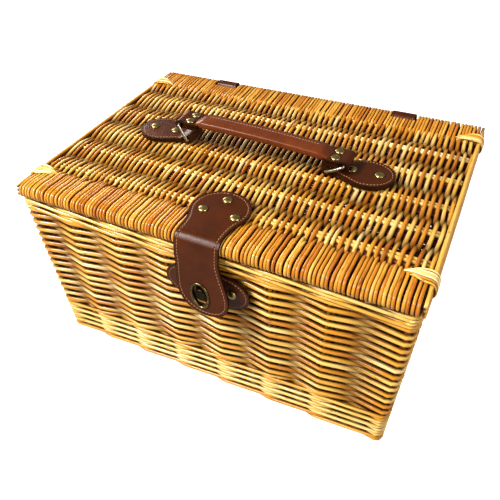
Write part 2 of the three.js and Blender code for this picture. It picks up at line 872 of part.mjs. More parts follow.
function ringBody() {
  const path = rectangleRing(ringHalfWidth, ringReach / 2, ringCorner, 0, 3);
  const rings = path.map((p, i) => {
    const before = path[(i + path.length - 1) % path.length];
    const after = path[(i + 1) % path.length];
    const way = new THREE.Vector3().subVectors(after, before).normalize();
    const out = new THREE.Vector3(way.y, -way.x, 0);
    const turns = Array.from({ length: 8 }, (_, k) => (2 * Math.PI * (k + 0.5)) / 8);
    return turns.map((angle) =>
      p
        .clone()
        .addScaledVector(out, (Math.cos(angle) * ringWire) / 2)
        .add(point(0, 0, (Math.sin(angle) * ringWire) / 2)),
    );
  });
  const place = new THREE.Matrix4()
    .makeRotationZ(Math.PI / 2)
    .premultiply(new THREE.Matrix4().makeRotationY(-Math.PI / 2))
    .premultiply(new THREE.Matrix4().makeTranslation(0, 0, ringReach / 2));
  return loft(rings, true).transform(place.toArray());
}

// Upper bars, seen along Y, in the lid's frame
const leftRise = degrees(leftRingRise);
const rightRise = degrees(rightRingRise);
const leftBar = point(
  handleX - platePivotHalf - ringReach * Math.cos(leftRise),
  0,
  platePivotZ + ringReach * Math.sin(leftRise),
);
const rightBar = point(
  handleX + platePivotHalf + ringReach * Math.cos(rightRise),
  0,
  platePivotZ + ringReach * Math.sin(rightRise),
);
const handleHalf = leftBar.distanceTo(rightBar) / 2 + wrapSlot / 2;
const handleSlope = Math.atan2(leftBar.z - rightBar.z, rightBar.x - leftBar.x);

function makeRings(lid) {
  const left = frameAt(handleX - platePivotHalf, 0, platePivotZ, 0, leftRise - Math.PI / 2);
  left.add(piece("handle_ring_left", ringBody(), steel));
  const right = frameAt(handleX + platePivotHalf, 0, platePivotZ, 0, Math.PI / 2 - rightRise);
  right.add(piece("handle_ring_right", ringBody(), steel));
  lid.add(left, right);
}

// Handle: local X runs from the left bar to the right bar

function gripSection(u, height, width, lift) {
  const corners = [
    [-0.5, 0.16],
    [-0.44, 0.02],
    [-0.3, 0],
    [0.3, 0],
    [0.44, 0.02],
    [0.5, 0.16],
    [0.5, 0.46],
    [0.45, 0.68],
    [0.32, 0.86],
    [0.14, 0.98],
    [0, 1],
    [-0.14, 0.98],
    [-0.32, 0.86],
    [-0.45, 0.68],
    [-0.5, 0.46],
  ];
  return corners.map(([across, up]) => point(u, across * width, lift + up * height));
}

function makeHandle(lid) {
  const middleX = (leftBar.x + rightBar.x) / 2;
  const middleZ = (leftBar.z + rightBar.z) / 2;
  const handle = frameAt(middleX, 0, middleZ, 0, handleSlope);
  const wrapInner = handleHalf - wrapLength;
  const rivetU = handleHalf - wrapRivetFromBar;
  const tailTop = gripTailThickness / 2;
  const layer = tailTop + seat;

  const gripEnd = wrapInner - seat;
  const stations = [-1, -0.985, -0.95, -0.88, -0.66, -0.33, 0, 0.33, 0.66, 0.88, 0.95, 0.985, 1];
  const grip = loft(
    stations.map((share) => {
      const fullness = Math.min(1, 0.35 + 5.5 * (1 - Math.abs(share)));
      const height = gripHeight * fullness;
      return gripSection(
        share * gripEnd,
        height,
        gripWidth,
        -tailTop + gripArch * (1 - share * share),
      );
    }),
  );
  const tails = [-1, 1].map((s) => {
    const x0 = Math.min(s * (gripEnd - 6), s * (rivetU + 5));
    const x1 = Math.max(s * (gripEnd - 6), s * (rivetU + 5));
    return box(x0, x1, -gripWidth / 2 + 1, gripWidth / 2 - 1, -tailTop, tailTop);
  });
  const rivetSpots = [-1, 1].flatMap((s) => [-1, 1].map((t) => [s * rivetU, t * wrapRivetRow]));
  const holes = rivetSpots.map(([x, y]) => rivetHole(x, y, -10, 10));
  handle.add(piece("handle_grip", without(joined(grip, ...tails), ...holes), gripLeather));

  const wrapOuter = ringBore + wrapLeather;
  const slotHeight = 2 * layer;
  const side = new THREE.Shape();
  const bore = ringBore;
  const top = layer + wrapLeather;
  side.moveTo(-wrapLength, -top);
  side.lineTo(-wrapPinch, -top);
  side.bezierCurveTo(-6, -top, -4, -wrapOuter, -wrapSlot, -wrapOuter);
  side.lineTo(wrapSlot, -wrapOuter);
  side.absarc(wrapSlot, 0, wrapOuter, -Math.PI / 2, Math.PI / 2, false);
  side.lineTo(-wrapSlot, wrapOuter);
  side.bezierCurveTo(-4, wrapOuter, -6, top, -wrapPinch, top);
  side.lineTo(-wrapLength, top);
  side.lineTo(-wrapLength, slotHeight / 2);
  side.lineTo(-7.4, slotHeight / 2);
  side.quadraticCurveTo(-bore - 2, bore, -wrapSlot - 1, bore);
  side.lineTo(wrapSlot, bore);
  side.absarc(wrapSlot, 0, bore, Math.PI / 2, -Math.PI / 2, true);
  side.lineTo(-wrapSlot - 1, -bore);
  side.quadraticCurveTo(-bore - 2, -bore, -7.4, -slotHeight / 2);
  side.lineTo(-wrapLength, -slotHeight / 2);
  const neck = wrapNeckWidth / 2;
  const full = wrapWidth / 2;
  const plan = new THREE.Shape();
  plan.moveTo(-wrapLength, -full + 2);
  plan.quadraticCurveTo(-wrapLength, -full, -wrapLength + 2, -full);
  plan.lineTo(-wrapPinch, -full);
  plan.quadraticCurveTo(-6, -neck, -3, -neck);
  plan.lineTo(10, -neck);
  plan.lineTo(10, neck);
  plan.lineTo(-3, neck);
  plan.quadraticCurveTo(-6, neck, -wrapPinch, full);
  plan.lineTo(-wrapLength + 2, full);
  plan.quadraticCurveTo(-wrapLength, full, -wrapLength, full - 2);
  const wrap = alongY(side, -full - 1, full + 1, 6).intersect(plate(plan, -20, 20, 5));
  const wrapHoles = [-1, 1].map((t) => rivetHole(rivetU - handleHalf, t * wrapRivetRow, -10, 10));
  const cut = without(wrap, ...wrapHoles);
  for (const [name, s] of plateSides) {
    const end = frameAt(s * handleHalf, 0, 0);
    end.add(piece(`handle_wrap_${name}`, s > 0 ? cut : mirrorX(cut), leather));
    for (const [rowName, t] of [
      ["front", -1],
      ["back", 1],
    ]) {
      const spot = frameAt(s * (rivetU - handleHalf), t * wrapRivetRow, top + seat);
      const depth = 2 * (top + seat) + burrThickness;
      const body = rivet(depth, burrDiameter, burrThickness);
      spot.add(piece(`wrap_rivet_${name}_${rowName}`, body, brass));
      end.add(spot);
    }
    handle.add(end);
  }
  lid.add(handle);
}

// Clasp strap

function strapRivetPlaces() {
  const headY = -lidDepth / 2 + strapHeadFromEdge;
  return strapRivets.map(([x, y]) => [strapX + x, headY + y]);
}

// Part of the bent strap between two angles, seen from the end, round the bend's centre
function bendArc(shape, radius, from, to) {
  const steps = 5;
  for (let i = 0; i <= steps; i += 1) {
    const angle = from + ((to - from) * i) / steps;
    shape.push([bendY - radius * Math.cos(angle), bendZ + radius * Math.sin(angle)]);
  }
}

function makeStrapOnLid(lid) {
  const bottom = lidTop + seat;
  const top = bottom + strapLeather;
  const back = -lidDepth / 2 + strapHeadFromEdge + strapHeadRadius + 2;
  const gap = seat / 2 / bendOuter;
  const points = [
    [back, bottom],
    [back, top],
  ];
  bendArc(points, bendOuter, Math.PI / 2, splitAngle + gap);
  bendArc(points, strapBendRadius, splitAngle + gap * 3, Math.PI / 2);
  const strip = alongX(outline(points), strapX - 40, strapX + 40);
  const headY = -lidDepth / 2 + strapHeadFromEdge;
  const half = strapWidth / 2;
  const plan = new THREE.Shape();
  const joinAngle = degrees(38);
  plan.moveTo(strapX - half, -lidDepth / 2 - 20);
  plan.lineTo(strapX + half, -lidDepth / 2 - 20);
  plan.lineTo(strapX + half, headY - 32);
  plan.quadraticCurveTo(
    strapX + half,
    headY - 25,
    strapX + strapHeadRadius * Math.cos(joinAngle),
    headY - strapHeadRadius * Math.sin(joinAngle),
  );
  plan.absarc(strapX, headY, strapHeadRadius, -joinAngle, Math.PI + joinAngle, false);
  plan.quadraticCurveTo(strapX - half, headY - 25, strapX - half, headY - 32);
  const body = strip.intersect(plate(plan, lidTop - 20, lidTop + 20, 12));
  const holes = strapRivetPlaces().map(([x, y]) => rivetHole(x, y, bottom - 1, top + 1));
  const toLid = new THREE.Matrix4().makeTranslation(0, 0, -lidBottom).toArray();
  lid.add(piece("clasp_strap", without(body, ...holes).transform(toLid), leather));
  strapRivetPlaces().forEach(([x, y], i) => {
    const spot = frameAt(x, y, top + seat - lidBottom);
    spot.add(piece(`strap_rivet_${i + 1}`, rivet(2 * seat + strapLeather + rivetBite), brass));
    lid.add(spot);
  });
}

// Tongue below the bend: (across, down) outline of its right half, before the lean
const tongueHalfOutline = () => [
  [strapWidth / 2, 0],
  [strapWidth / 2 - 0.2, tongueLength * 0.2],
  [strapWidth / 2 + 1.6, tongueLength * 0.46],
  [tongueEndHalfWidth, tongueLength * 0.7],
  [tongueEndHalfWidth * 0.84, tongueLength * 0.87],
  [tongueEndHalfWidth * 0.44, tongueLength * 0.975],
  [0, tongueLength],
];

function tongueShape() {
  const lean = (down) => tongueLean * Math.max(0, down - tongueLeanStart);
  const right = tongueHalfOutline();
  const left = right
    .slice(0, -1)
    .reverse()
    .map(([x, d]) => [-x, d]);
  const points = [...right, ...left].map(
    ([x, d]) => new THREE.Vector2(strapX + x + lean(d), -d),
  );
  const shape = new THREE.Shape();
  shape.moveTo(points[0].x, 2 * strapBendRadius);
  shape.lineTo(points[0].x, points[0].y);
  shape.splineThru(points.slice(1));
  shape.lineTo(points[points.length - 1].x, 2 * strapBendRadius);
  return shape;
}

function makeTongue(lid) {
  const hangCos = Math.cos(tongueHang);
  const hangSin = Math.sin(tongueHang);
  const gap = seat / 2 / bendOuter;
  const points = [];
  bendArc(points, bendOuter, splitAngle - gap, tongueHang);
  const endOuter = points[points.length - 1];
  const reach = tongueLength + 5;
  const down = ([y, z], length) => [y - length * hangSin, z - length * hangCos];
  points.push(down(endOuter, reach));
  const inner = [];
  bendArc(inner, strapBendRadius, tongueHang, splitAngle - gap * 4);
  points.push(down(inner[0], reach), ...inner);
  const strip = alongX(outline(points), strapX - 60, strapX + 60);

  // Plan of the tongue, standing square to it: local Z goes back up the tongue
  const root = frameAt(0, endOuter[0], endOuter[1], -tongueHang);
  const planPlace = root.matrix.clone().multiply(new THREE.Matrix4().makeRotationX(Math.PI / 2));
  const prism = solid(extrude(tongueShape(), 40, 3).translate(0, 0, -20), planPlace);
  const sheet = strip.intersect(prism);

  // Eyelet frame: on the tongue's mid-plane, at the lock
  const drop = (endOuter[1] - lockZ) / hangCos;
  const eyeletFrame = frameAt(
    lockX,
    endOuter[0] - drop * hangSin + (strapLeather / 2) * hangCos,
    lockZ - (strapLeather / 2) * hangSin,
    -tongueHang,
  );
  const lean = degrees(lockLean);
  const depth = strapLeather / 2 + seat;
  const across = (shape, y0, y1, segments) =>
    solid(extrude(shape, y1 - y0, segments).rotateX(Math.PI / 2).translate(0, y1, 0));
  const barrelWidth = eyeletWidth - 2 * eyeletFlange;
  const barrelHeight = eyeletHeight - 2 * eyeletFlange;
  const opening = across(
    ellipse(barrelWidth + 2 * seat, barrelHeight + 2 * seat, lean),
    -10,
    10,
    6,
  ).transform(eyeletFrame.matrix.toArray());

  const clasp = frameAt(0, claspAxisY, claspAxisZ - lidBottom);
  const local = new THREE.Matrix4().makeTranslation(0, -claspAxisY, -claspAxisZ);
  const body = without(sheet, opening).transform(local.toArray());
  clasp.add(piece("clasp_tongue", body, leather));

  const lip = (y0, y1) => across(ellipse(eyeletWidth, eyeletHeight, lean), y0, y1, 6);
  const eyelet = without(
    joined(
      lip(-depth - eyeletLip, -depth),
      across(ellipse(barrelWidth, barrelHeight, lean), -depth, depth, 6),
      lip(depth, depth + eyeletLip),
    ),
    across(
      ellipse(barrelWidth - 2 * eyeletWall, barrelHeight - 2 * eyeletWall, lean),
      -10,
      10,
      6,
    ),
  );
  const holder = frameAt(
    eyeletFrame.position.x,
    eyeletFrame.position.y - claspAxisY,
    eyeletFrame.position.z - claspAxisZ,
    -tongueHang,
  );
  holder.add(piece("clasp_eyelet", eyelet, brass));
  clasp.add(holder);
  lid.add(clasp);
}

// Turn lock on the front wall: local -Y points out of the wall

function patchShape() {
  const half = patchLength / 2;
  const high = patchHeight / 2;
  const shape = new THREE.Shape();
  shape.moveTo(-half, 0);
  shape.bezierCurveTo(-half, -high * 0.6, -half * 0.66, -high, -half * 0.3, -high);
  shape.lineTo(half * 0.3, -high);
  shape.bezierCurveTo(half * 0.66, -high, half, -high * 0.6, half, 0);
  shape.bezierCurveTo(half, high * 0.6, half * 0.66, high, half * 0.3, high);
  shape.lineTo(-half * 0.3, high);
  shape.bezierCurveTo(-half * 0.66, high, -half, high * 0.6, -half, 0);
  return shape;
}

function makeLock(basket) {
  const lock = lockFrame();
  const lean = degrees(lockLean);
  const outward = (shape, near, far, segments = 6) =>
    solid(extrude(shape, far - near, segments).rotateX(Math.PI / 2).translate(0, -near, 0));
  const stemHole = (diameter, near, far) =>
    rod(point(0, -near, 0), point(0, -far, 0), diameter, 10);

  const patchHoles = [-1, 1].map((s) =>
    rod(
      point(s * patchRivetHalf, 1, 0),
      point(s * patchRivetHalf, -patchTop - 1, 0),
      rivetShank + 2 * rivetPlay,
      rivetFacets,
    ),
  );
  const patch = without(
    outward(patchShape(), seat, patchTop, 5),
    ...patchHoles,
    ...prongSlots(),
    stemHole(collarDiameter, -1, patchTop + 1),
  );
  lock.add(piece("clasp_patch", patch, leather));
  for (const [name, s] of plateSides) {
    const spot = frameAt(s * patchRivetHalf, -patchTop - seat, 0, Math.PI / 2);
    spot.add(piece(`patch_rivet_${name}`, rivet(2 * seat + patchLeather + wallRivetBite), brass));
    lock.add(spot);
  }

  // Lock plate with its collar, and two prongs bent over a washer inside the wall
  const plateNear = patchTop + seat;
  const back = wallThickness + seat;
  const washerBack = back + washerThickness;
  const prongs = [-1, 1].map((s) => {
    const z = s * prongHalf;
    const leg = box(
      -prongWidth / 2,
      prongWidth / 2,
      -plateNear - 0.2,
      washerBack + seat + prongThickness,
      z - prongThickness / 2,
      z + prongThickness / 2,
    );
    const footFar = z - s * prongFoot;
    const foot = box(
      -prongWidth / 2,
      prongWidth / 2,
      washerBack + seat,
      washerBack + seat + prongThickness,
      Math.min(footFar, z + (s * prongThickness) / 2),
      Math.max(footFar, z + (s * prongThickness) / 2),
    );
    return joined(leg, foot);
  });
  const collarTop = knobUnder - seat;
  const base = without(
    joined(
      outward(ellipse(lockPlateWidth, lockPlateHeight, lean), plateNear, lockPlateTop),
      rod(point(0, -plateNear, 0), point(0, -collarTop, 0), collarDiameter, 12),
      ...prongs,
    ),
    stemHole(stemDiameter + 2 * rivetPlay, plateNear - 1, collarTop + 1),
  );
  lock.add(piece("lock_base", base, brass));

  const washerHalf = prongHalf + washerPastProng;
  const washer = without(
    box(-washerWidth / 2, washerWidth / 2, back, washerBack, -washerHalf, washerHalf),
    ...prongSlots(),
  );
  lock.add(piece("lock_washer", washer, steel));

  // Knob: domed oval head on a stem, headed over behind the lock plate
  const head = outward(ellipse(knobWidth, knobHeight, lean), knobUnder, knobUnder + knobEdge);
  const dome = loft(
    [
      [1, 0],
      [0.8, 0.62],
      [0.5, 0.9],
      [0.16, 1],
    ].map(([size, rise]) => {
      const turns = Array.from({ length: 20 }, (_, k) => (2 * Math.PI * k) / 20);
      return turns.map((angle) => {
        const a = Math.cos(angle) * knobWidth * 0.46 * size;
        const b = Math.sin(angle) * knobHeight * 0.46 * size;
        return point(
          a * Math.cos(lean) - b * Math.sin(lean),
          -(knobUnder + knobEdge - 0.05 + rise * knobDome),
          a * Math.sin(lean) + b * Math.cos(lean),
        );
      });
    }),
  );
  const tailNear = plateNear - seat - 1;
  const knob = joined(
    head,
    dome,
    rod(point(0, -tailNear, 0), point(0, -knobUnder - 0.2, 0), stemDiameter, 10),
    rod(point(0, -tailNear, 0), point(0, -tailNear - 0.9, 0), stemDiameter + 2.4, 10),
  );
  lock.add(piece("turn_knob", knob, brass));
  basket.add(lock);
}

// The whole basket

const basket = new THREE.Group();
basket.name = "basket";
makeBase(basket);
makeWall(basket);
makeHingeLeaf(basket, "left", -hingeX);
makeHingeLeaf(basket, "right", hingeX);
makeLock(basket);

const lid = frameAt(0, 0, lidBottom);
lid.name = "lid";
makeLid(lid);
makePlates(lid);
makeRings(lid);
makeHandle(lid);
makeStrapOnLid(lid);
makeTongue(lid);
basket.add(lid);

export default basket;
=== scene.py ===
"""Willow picnic basket with a woven lid, leather hinges, a turn-lock clasp and a ring-hung handle.

Sizes are in millimetres while a piece is shaped. A finished mesh is in metres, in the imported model's frame.
"""

import logging
import math
import random
from dataclasses import dataclass, field
from enum import Enum
from typing import Callable, Iterable, Sequence

import bmesh
import bpy
import numpy as np
from mathutils import Matrix, Vector


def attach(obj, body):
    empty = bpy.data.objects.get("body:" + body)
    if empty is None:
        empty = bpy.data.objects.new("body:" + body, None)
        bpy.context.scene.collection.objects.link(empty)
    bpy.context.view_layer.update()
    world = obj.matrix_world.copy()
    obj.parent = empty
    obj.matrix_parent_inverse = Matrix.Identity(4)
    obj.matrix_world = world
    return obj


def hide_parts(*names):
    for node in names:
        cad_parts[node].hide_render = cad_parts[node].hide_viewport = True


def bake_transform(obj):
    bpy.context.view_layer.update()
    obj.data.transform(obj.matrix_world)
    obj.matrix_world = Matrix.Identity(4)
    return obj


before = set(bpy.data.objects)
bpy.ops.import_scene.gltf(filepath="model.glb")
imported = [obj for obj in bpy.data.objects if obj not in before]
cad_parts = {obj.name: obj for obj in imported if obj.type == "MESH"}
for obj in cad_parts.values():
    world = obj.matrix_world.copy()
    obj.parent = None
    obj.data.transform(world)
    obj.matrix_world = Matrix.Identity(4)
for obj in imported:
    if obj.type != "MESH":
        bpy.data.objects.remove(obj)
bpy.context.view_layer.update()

MM = 0.001
UP = Vector((0, 0, 1))
WHITE = (1.0, 1.0, 1.0, 1.0)
ENDS = (("front", -1), ("back", 1))
SIDES = (("left", -1), ("right", 1))
FIBRE_GAP = 517.3  # from one rod's fibre place to the next one's, so that their streaks differ
STRAIGHT_RUN = 10.0  # longest straight piece of a kinked rod
NARROWEST = 0.7  # half width that is left where a leather cut comes to its end
SEAM_INSET = 3.0  # seam behind the cut edge
log = logging.getLogger("basket")


class Slot(Enum):
    """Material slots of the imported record."""

    WILLOW = "willow"
    GOLDEN = "golden_willow"
    PALE = "pale_willow"
    DARK = "dark_willow"
    LEATHER = "leather"
    GRIP = "grip_leather"
    BRASS = "aged_brass"
    STEEL = "ring_steel"


class Spacing(Enum):
    """How the rows of a flat-cut piece are spread along it."""

    EVEN = "even"
    CLOSE_AT_BOTH = "close_at_both"


# Colour and shader nodes


def tint(code: str) -> tuple[float, float, float, float]:
    """Turns a six-digit screen colour into a linear colour with an alpha of 1."""
    parts = [int(code[i : i + 2], 16) / 255 for i in (0, 2, 4)]
    linear = [p / 12.92 if p <= 0.04045 else ((p + 0.055) / 1.055) ** 2.4 for p in parts]
    return (*linear, 1.0)


class NodeBench:
    """Adds and links the nodes of one shader tree."""

    def __init__(self, tree: bpy.types.NodeTree) -> None:
        """Keeps the tree that the nodes go into."""
        self.tree = tree

    def add(self, kind: str, inputs: dict | None = None, **settings: object) -> bpy.types.Node:
        """Adds a node.

        Args:
            kind: Node type, without its ShaderNode prefix.
            inputs: Values or sockets for its inputs, by name or number.
            settings: Properties of the node.

        Returns:
            The new node.
        """
        node = self.tree.nodes.new("ShaderNode" + kind)
        for key, value in settings.items():
            setattr(node, key, value)
        self.fill(node.inputs, inputs or {})
        return node

    def fill(self, sockets: bpy.types.NodeInputs, values: dict) -> None:
        """Links or sets several sockets, by name or number."""
        for key, value in values.items():
            if isinstance(value, bpy.types.NodeSocket):
                self.tree.links.new(value, sockets[key])
            else:
                sockets[key].default_value = value

    def math(self, operation: str, *values: object) -> bpy.types.NodeSocket:
        """Adds a Math node and returns its result."""
        return self.add("Math", dict(enumerate(values)), operation=operation).outputs[0]

    def plus(self, one: object, other: object) -> bpy.types.NodeSocket:
        """Adds two values."""
        return self.math("ADD", one, other)

    def minus(self, one: object, other: object) -> bpy.types.NodeSocket:
        """Takes one value from another."""
        return self.math("SUBTRACT", one, other)

    def times(self, one: object, other: object) -> bpy.types.NodeSocket:
        """Multiplies two values."""
        return self.math("MULTIPLY", one, other)

    def read(self, name: str, output: str = "Fac") -> bpy.types.NodeSocket:
        """Reads an attribute of the mesh."""
        return self.add("Attribute", attribute_name=name).outputs[output]

    def place(self) -> bpy.types.NodeSocket:
        """Reads the object coordinates."""
        return self.add("TexCoord").outputs["Object"]

    def noise(
        self, vector: object, scale: float | Sequence[float], detail: float = 2.0
    ) -> bpy.types.NodeSocket:
        """Adds a noise texture, with one scale or one for each axis, and returns its value."""
        if not isinstance(scale, float):
            vector = self.add("VectorMath", {0: vector, 1: scale}, operation="MULTIPLY").outputs[0]
            scale = 1.0
        return self.add("TexNoise", {"Vector": vector, "Scale": scale, "Detail": detail}).outputs["Fac"]

    def spread(self, value: object, low: float, high: float, to_low: float, to_high: float) -> object:
        """Maps a value from one range to another, and stops at its ends."""
        inputs = {"Value": value, 1: low, 2: high, 3: to_low, 4: to_high}
        return self.add("MapRange", inputs, clamp=True).outputs[0]

    def blend(self, factor: object, low: object, high: object) -> bpy.types.NodeSocket:
        """Mixes two colours, given as sockets or screen colours."""
        low, high = (tint(colour) if isinstance(colour, str) else colour for colour in (low, high))
        return self.add("Mix", {0: factor, 6: low, 7: high}, data_type="RGBA").outputs[2]

    def bump(self, height: object, strength: float, depth: float) -> bpy.types.NodeSocket:
        """Adds a Bump node and returns its normal."""
        return self.add("Bump", {"Height": height, "Strength": strength, "Distance": depth}).outputs[0]

    def ramp(self, factor: object, stops: Sequence[tuple[float, str]]) -> bpy.types.NodeSocket:
        """Adds a colour ramp of places and screen colours, from low to high."""
        node = self.add("ValToRGB", {"Fac": factor})
        band = node.color_ramp.elements
        for place, _ in stops[1:-1]:
            band.new(place)
        for element, (place, code) in zip(band, stops):
            element.position = place
            element.color = tint(code)
        return node.outputs["Color"]


def effect_group(name: str, inputs: dict[str, float], outputs: Sequence[str]) -> tuple:
    """Starts a shader node group with named sockets.

    Args:
        name: The group's name.
        inputs: Number inputs and their defaults.
        outputs: Output names. The one called Color is a colour, the others are numbers.

    Returns:
        The group, a bench for it, the sockets of its inputs and those of its outputs.
    """
    group = bpy.data.node_groups.new(name, "ShaderNodeTree")
    for key, value in inputs.items():
        socket = group.interface.new_socket(name=key, in_out="INPUT", socket_type="NodeSocketFloat")
        socket.default_value = value
    for key in outputs:
        kind = "NodeSocketColor" if key == "Color" else "NodeSocketFloat"
        group.interface.new_socket(name=key, in_out="OUTPUT", socket_type=kind)
    start = group.nodes.new("NodeGroupInput")
    end = group.nodes.new("NodeGroupOutput")
    return group, NodeBench(group), start.outputs, end.inputs


def start_material(name: str) -> tuple[bpy.types.Material, NodeBench, bpy.types.NodeInputs]:
    """Starts a material, and gives it, its bench and its shader's sockets."""
    material = bpy.data.materials.new(name)
    material.use_nodes = True
    shader = material.node_tree.nodes["Principled BSDF"]
    return material, NodeBench(material.node_tree), shader.inputs


WILLOW_TONES = (
    (0.0, "471B05"),
    (0.22, "88420A"),
    (0.42, "B26A18"),
    (0.6, "D08F2A"),
    (0.78, "E6B65A"),
    (1.0, "F8E0A8"),
)


def make_willow_fibre() -> bpy.types.NodeTree:
    """Builds the effect of varnished willow bark: tone along each rod, streaks, specks, and painted shade
    deep between the rods.
    """
    inputs = {"Tone Shift": 0.0, "Wander": 0.5, "Streak": 0.35, "Specks": 0.6, "Painted Shade": 0.92}
    outputs = ("Color", "Roughness", "Height", "Unshaded Share")
    group, bench, start, end = effect_group("willow_fibre", inputs, outputs)
    fibre = bench.read("fibre", "Vector")
    wander = bench.noise(fibre, (0.012, 0.05, 0.05), 2.0)
    streak = bench.noise(fibre, (0.05, 0.75, 0.75), 3.0)
    fine = bench.noise(fibre, (0.22, 2.6, 2.6), 2.0)
    speck = bench.noise(fibre, (0.11, 0.35, 0.35), 1.0)
    drift = bench.times(bench.minus(wander, 0.5), start["Wander"])
    grain = bench.times(bench.minus(streak, 0.5), start["Streak"])
    tone = bench.plus(bench.plus(bench.read("tone"), start["Tone Shift"]), drift)
    bark = bench.ramp(bench.plus(tone, grain), WILLOW_TONES)
    mask = bench.times(bench.spread(speck, 0.66, 0.76, 0.0, 1.0), start["Specks"])
    # Painted shade: the attribute read here darkens the bark towards a deep brown between the rods, and its
    # inverse goes out to weaken the varnish coat there.
    painted_shade = bench.read("painted_shade")
    depth = bench.times(painted_shade, start["Painted Shade"])
    bench.fill(end, {
        "Color": bench.blend(depth, bench.blend(mask, bark, "6B3410"), "2E1000"),
        "Unshaded Share": bench.minus(1.0, painted_shade),
        "Roughness": bench.spread(streak, 0.3, 0.7, 0.27, 0.42),
        "Height": bench.plus(bench.times(fine, 0.5), streak),
    })
    return group


def make_leather_grain() -> bpy.types.NodeTree:
    """Builds the effect of grained leather: pebbles, creases, and the sewn channel inside the cut edge."""
    inputs = {"Pebble Scale": 1100.0, "Channel Place": 3.2}
    group, bench, start, end = effect_group("leather_grain", inputs, ("Shade", "Edge", "Height"))
    place = bench.place()
    pebble = bench.add("TexVoronoi", {"Vector": place, "Scale": start["Pebble Scale"]})
    crease = bench.noise(place, 260.0, 4.0)
    cloud = bench.noise(place, 45.0, 3.0)
    rim = bench.read("rim")
    off_channel = bench.math("ABSOLUTE", bench.minus(rim, start["Channel Place"]))
    channel = bench.spread(off_channel, 0.25, 0.9, 1.0, 0.0)
    shade = bench.plus(bench.times(cloud, 0.7), bench.times(crease, 0.3))
    height = bench.plus(bench.times(pebble.outputs["Distance"], 0.35), bench.times(crease, 0.5))
    bench.fill(end, {
        "Shade": bench.minus(shade, bench.times(channel, 0.16)),
        "Edge": bench.spread(rim, 0.2, 1.6, 1.0, 0.0),
        "Height": bench.minus(height, bench.times(channel, 1.4)),
    })
    return group


def make_metal_wear() -> bpy.types.NodeTree:
    """Builds the effect of handled metal: dull patches, small scratches and dents."""
    outputs = ("Patina", "Roughness", "Height")
    group, bench, start, end = effect_group("metal_wear", {"Dullness": 0.3}, outputs)
    place = bench.place()
    patch = bench.noise(place, 1100.0, 3.0)
    scratch = bench.noise(place, (900.0, 120.0, 2400.0), 2.0)
    rough = bench.plus(bench.times(patch, 0.28), start["Dullness"])
    bench.fill(end, {
        "Patina": bench.spread(patch, 0.42, 0.66, 0.0, 1.0),
        "Roughness": bench.minus(rough, 0.1),
        "Height": bench.plus(scratch, bench.times(patch, 1.5)),
    })
    return group


@dataclass(frozen=True)
class WillowFinish:
    """Varnished willow.

    Attributes:
        name: The material's name.
        shift: How much paler than the strands' own tone it is.
        wander: Change of tone along a rod.
        coat: Weight of the varnish.
    """

    name: str
    shift: float = 0.0
    wander: float = 0.5
    coat: float = 0.55

    def make(self, fibre: bpy.types.NodeTree) -> bpy.types.Material:
        """Builds the material round the willow effect."""
        material, bench, shader = start_material(self.name)
        inputs = {"Tone Shift": self.shift, "Wander": self.wander}
        effect = bench.add("Group", inputs, node_tree=fibre).outputs
        bench.fill(shader, {
            "Base Color": effect["Color"],
            "Roughness": effect["Roughness"],
            "Normal": bench.bump(effect["Height"], 0.5, 0.0003),
            # The coat is weakened where the painted shade is deep: a painted dimming of its reflections
            # between the rods.
            "Coat Weight": bench.times(effect["Unshaded Share"], self.coat),
            "Coat Roughness": 0.13,
            "Specular IOR Level": 0.3,
        })
        return material


@dataclass(frozen=True)
class LeatherFinish:
    """Waxed leather.

    Attributes:
        name: The material's name.
        dark: Colour in the creases and at the cut edge.
        light: Colour of the open surface.
        roughness: Roughness of the open surface.
        coat: Weight of the wax.
    """

    name: str
    dark: str
    light: str
    roughness: float
    coat: float

    def make(self, grain: bpy.types.NodeTree) -> bpy.types.Material:
        """Builds the material round the leather effect."""
        material, bench, shader = start_material(self.name)
        effect = bench.add("Group", node_tree=grain).outputs
        shade = bench.spread(effect["Shade"], 0.25, 0.7, 0.35, 1.0)
        face = bench.blend(shade, self.dark, self.light)
        bench.fill(shader, {
            "Base Color": bench.blend(effect["Edge"], face, self.dark),
            "Roughness": bench.spread(shade, 0.0, 1.0, self.roughness + 0.08, self.roughness),
            "Normal": bench.bump(effect["Height"], 0.45, 0.0004),
            "Coat Weight": self.coat,
            "Coat Roughness": 0.3,
            "Specular IOR Level": 0.2,
        })
        return material


@dataclass(frozen=True)
class MetalFinish:
    """Handled metal.

    Attributes:
        name: The material's name.
        bright: Colour where it is rubbed.
        dull: Colour of its patina.
        dullness: Base roughness.
    """

    name: str
    bright: str
    dull: str
    dullness: float = 0.3

    def make(self, wear: bpy.types.NodeTree) -> bpy.types.Material:
        """Builds the material round the metal effect."""
        material, bench, shader = start_material(self.name)
        effect = bench.add("Group", {"Dullness": self.dullness}, node_tree=wear).outputs
        bench.fill(shader, {
            "Base Color": bench.blend(effect["Patina"], self.bright, self.dull),
            "Roughness": effect["Roughness"],
            "Normal": bench.bump(effect["Height"], 0.15, 0.0002),
            "Metallic": 1.0,
        })
        return material


@dataclass(frozen=True)
class PlainFinish:
    """Waxed thread, or the painted cut edge of leather.

    Attributes:
        name: The material's name.
        dark: Colour in its hollows.
        light: Colour on its high places.
        roughness: Roughness all over.
        fleck: Size of its flecks, as flecks to the metre.
    """

    name: str
    dark: str
    light: str
    roughness: float
    fleck: float

    def make(self) -> bpy.types.Material:
        """Builds the material with a fleck of its own."""
        material, bench, shader = start_material(self.name)
        fleck = bench.noise(bench.place(), self.fleck, 3.0)
        bench.fill(shader, {
            "Base Color": bench.blend(fleck, self.dark, self.light),
            "Normal": bench.bump(fleck, 0.3, 0.0003),
            "Roughness": self.roughness,
        })
        return material


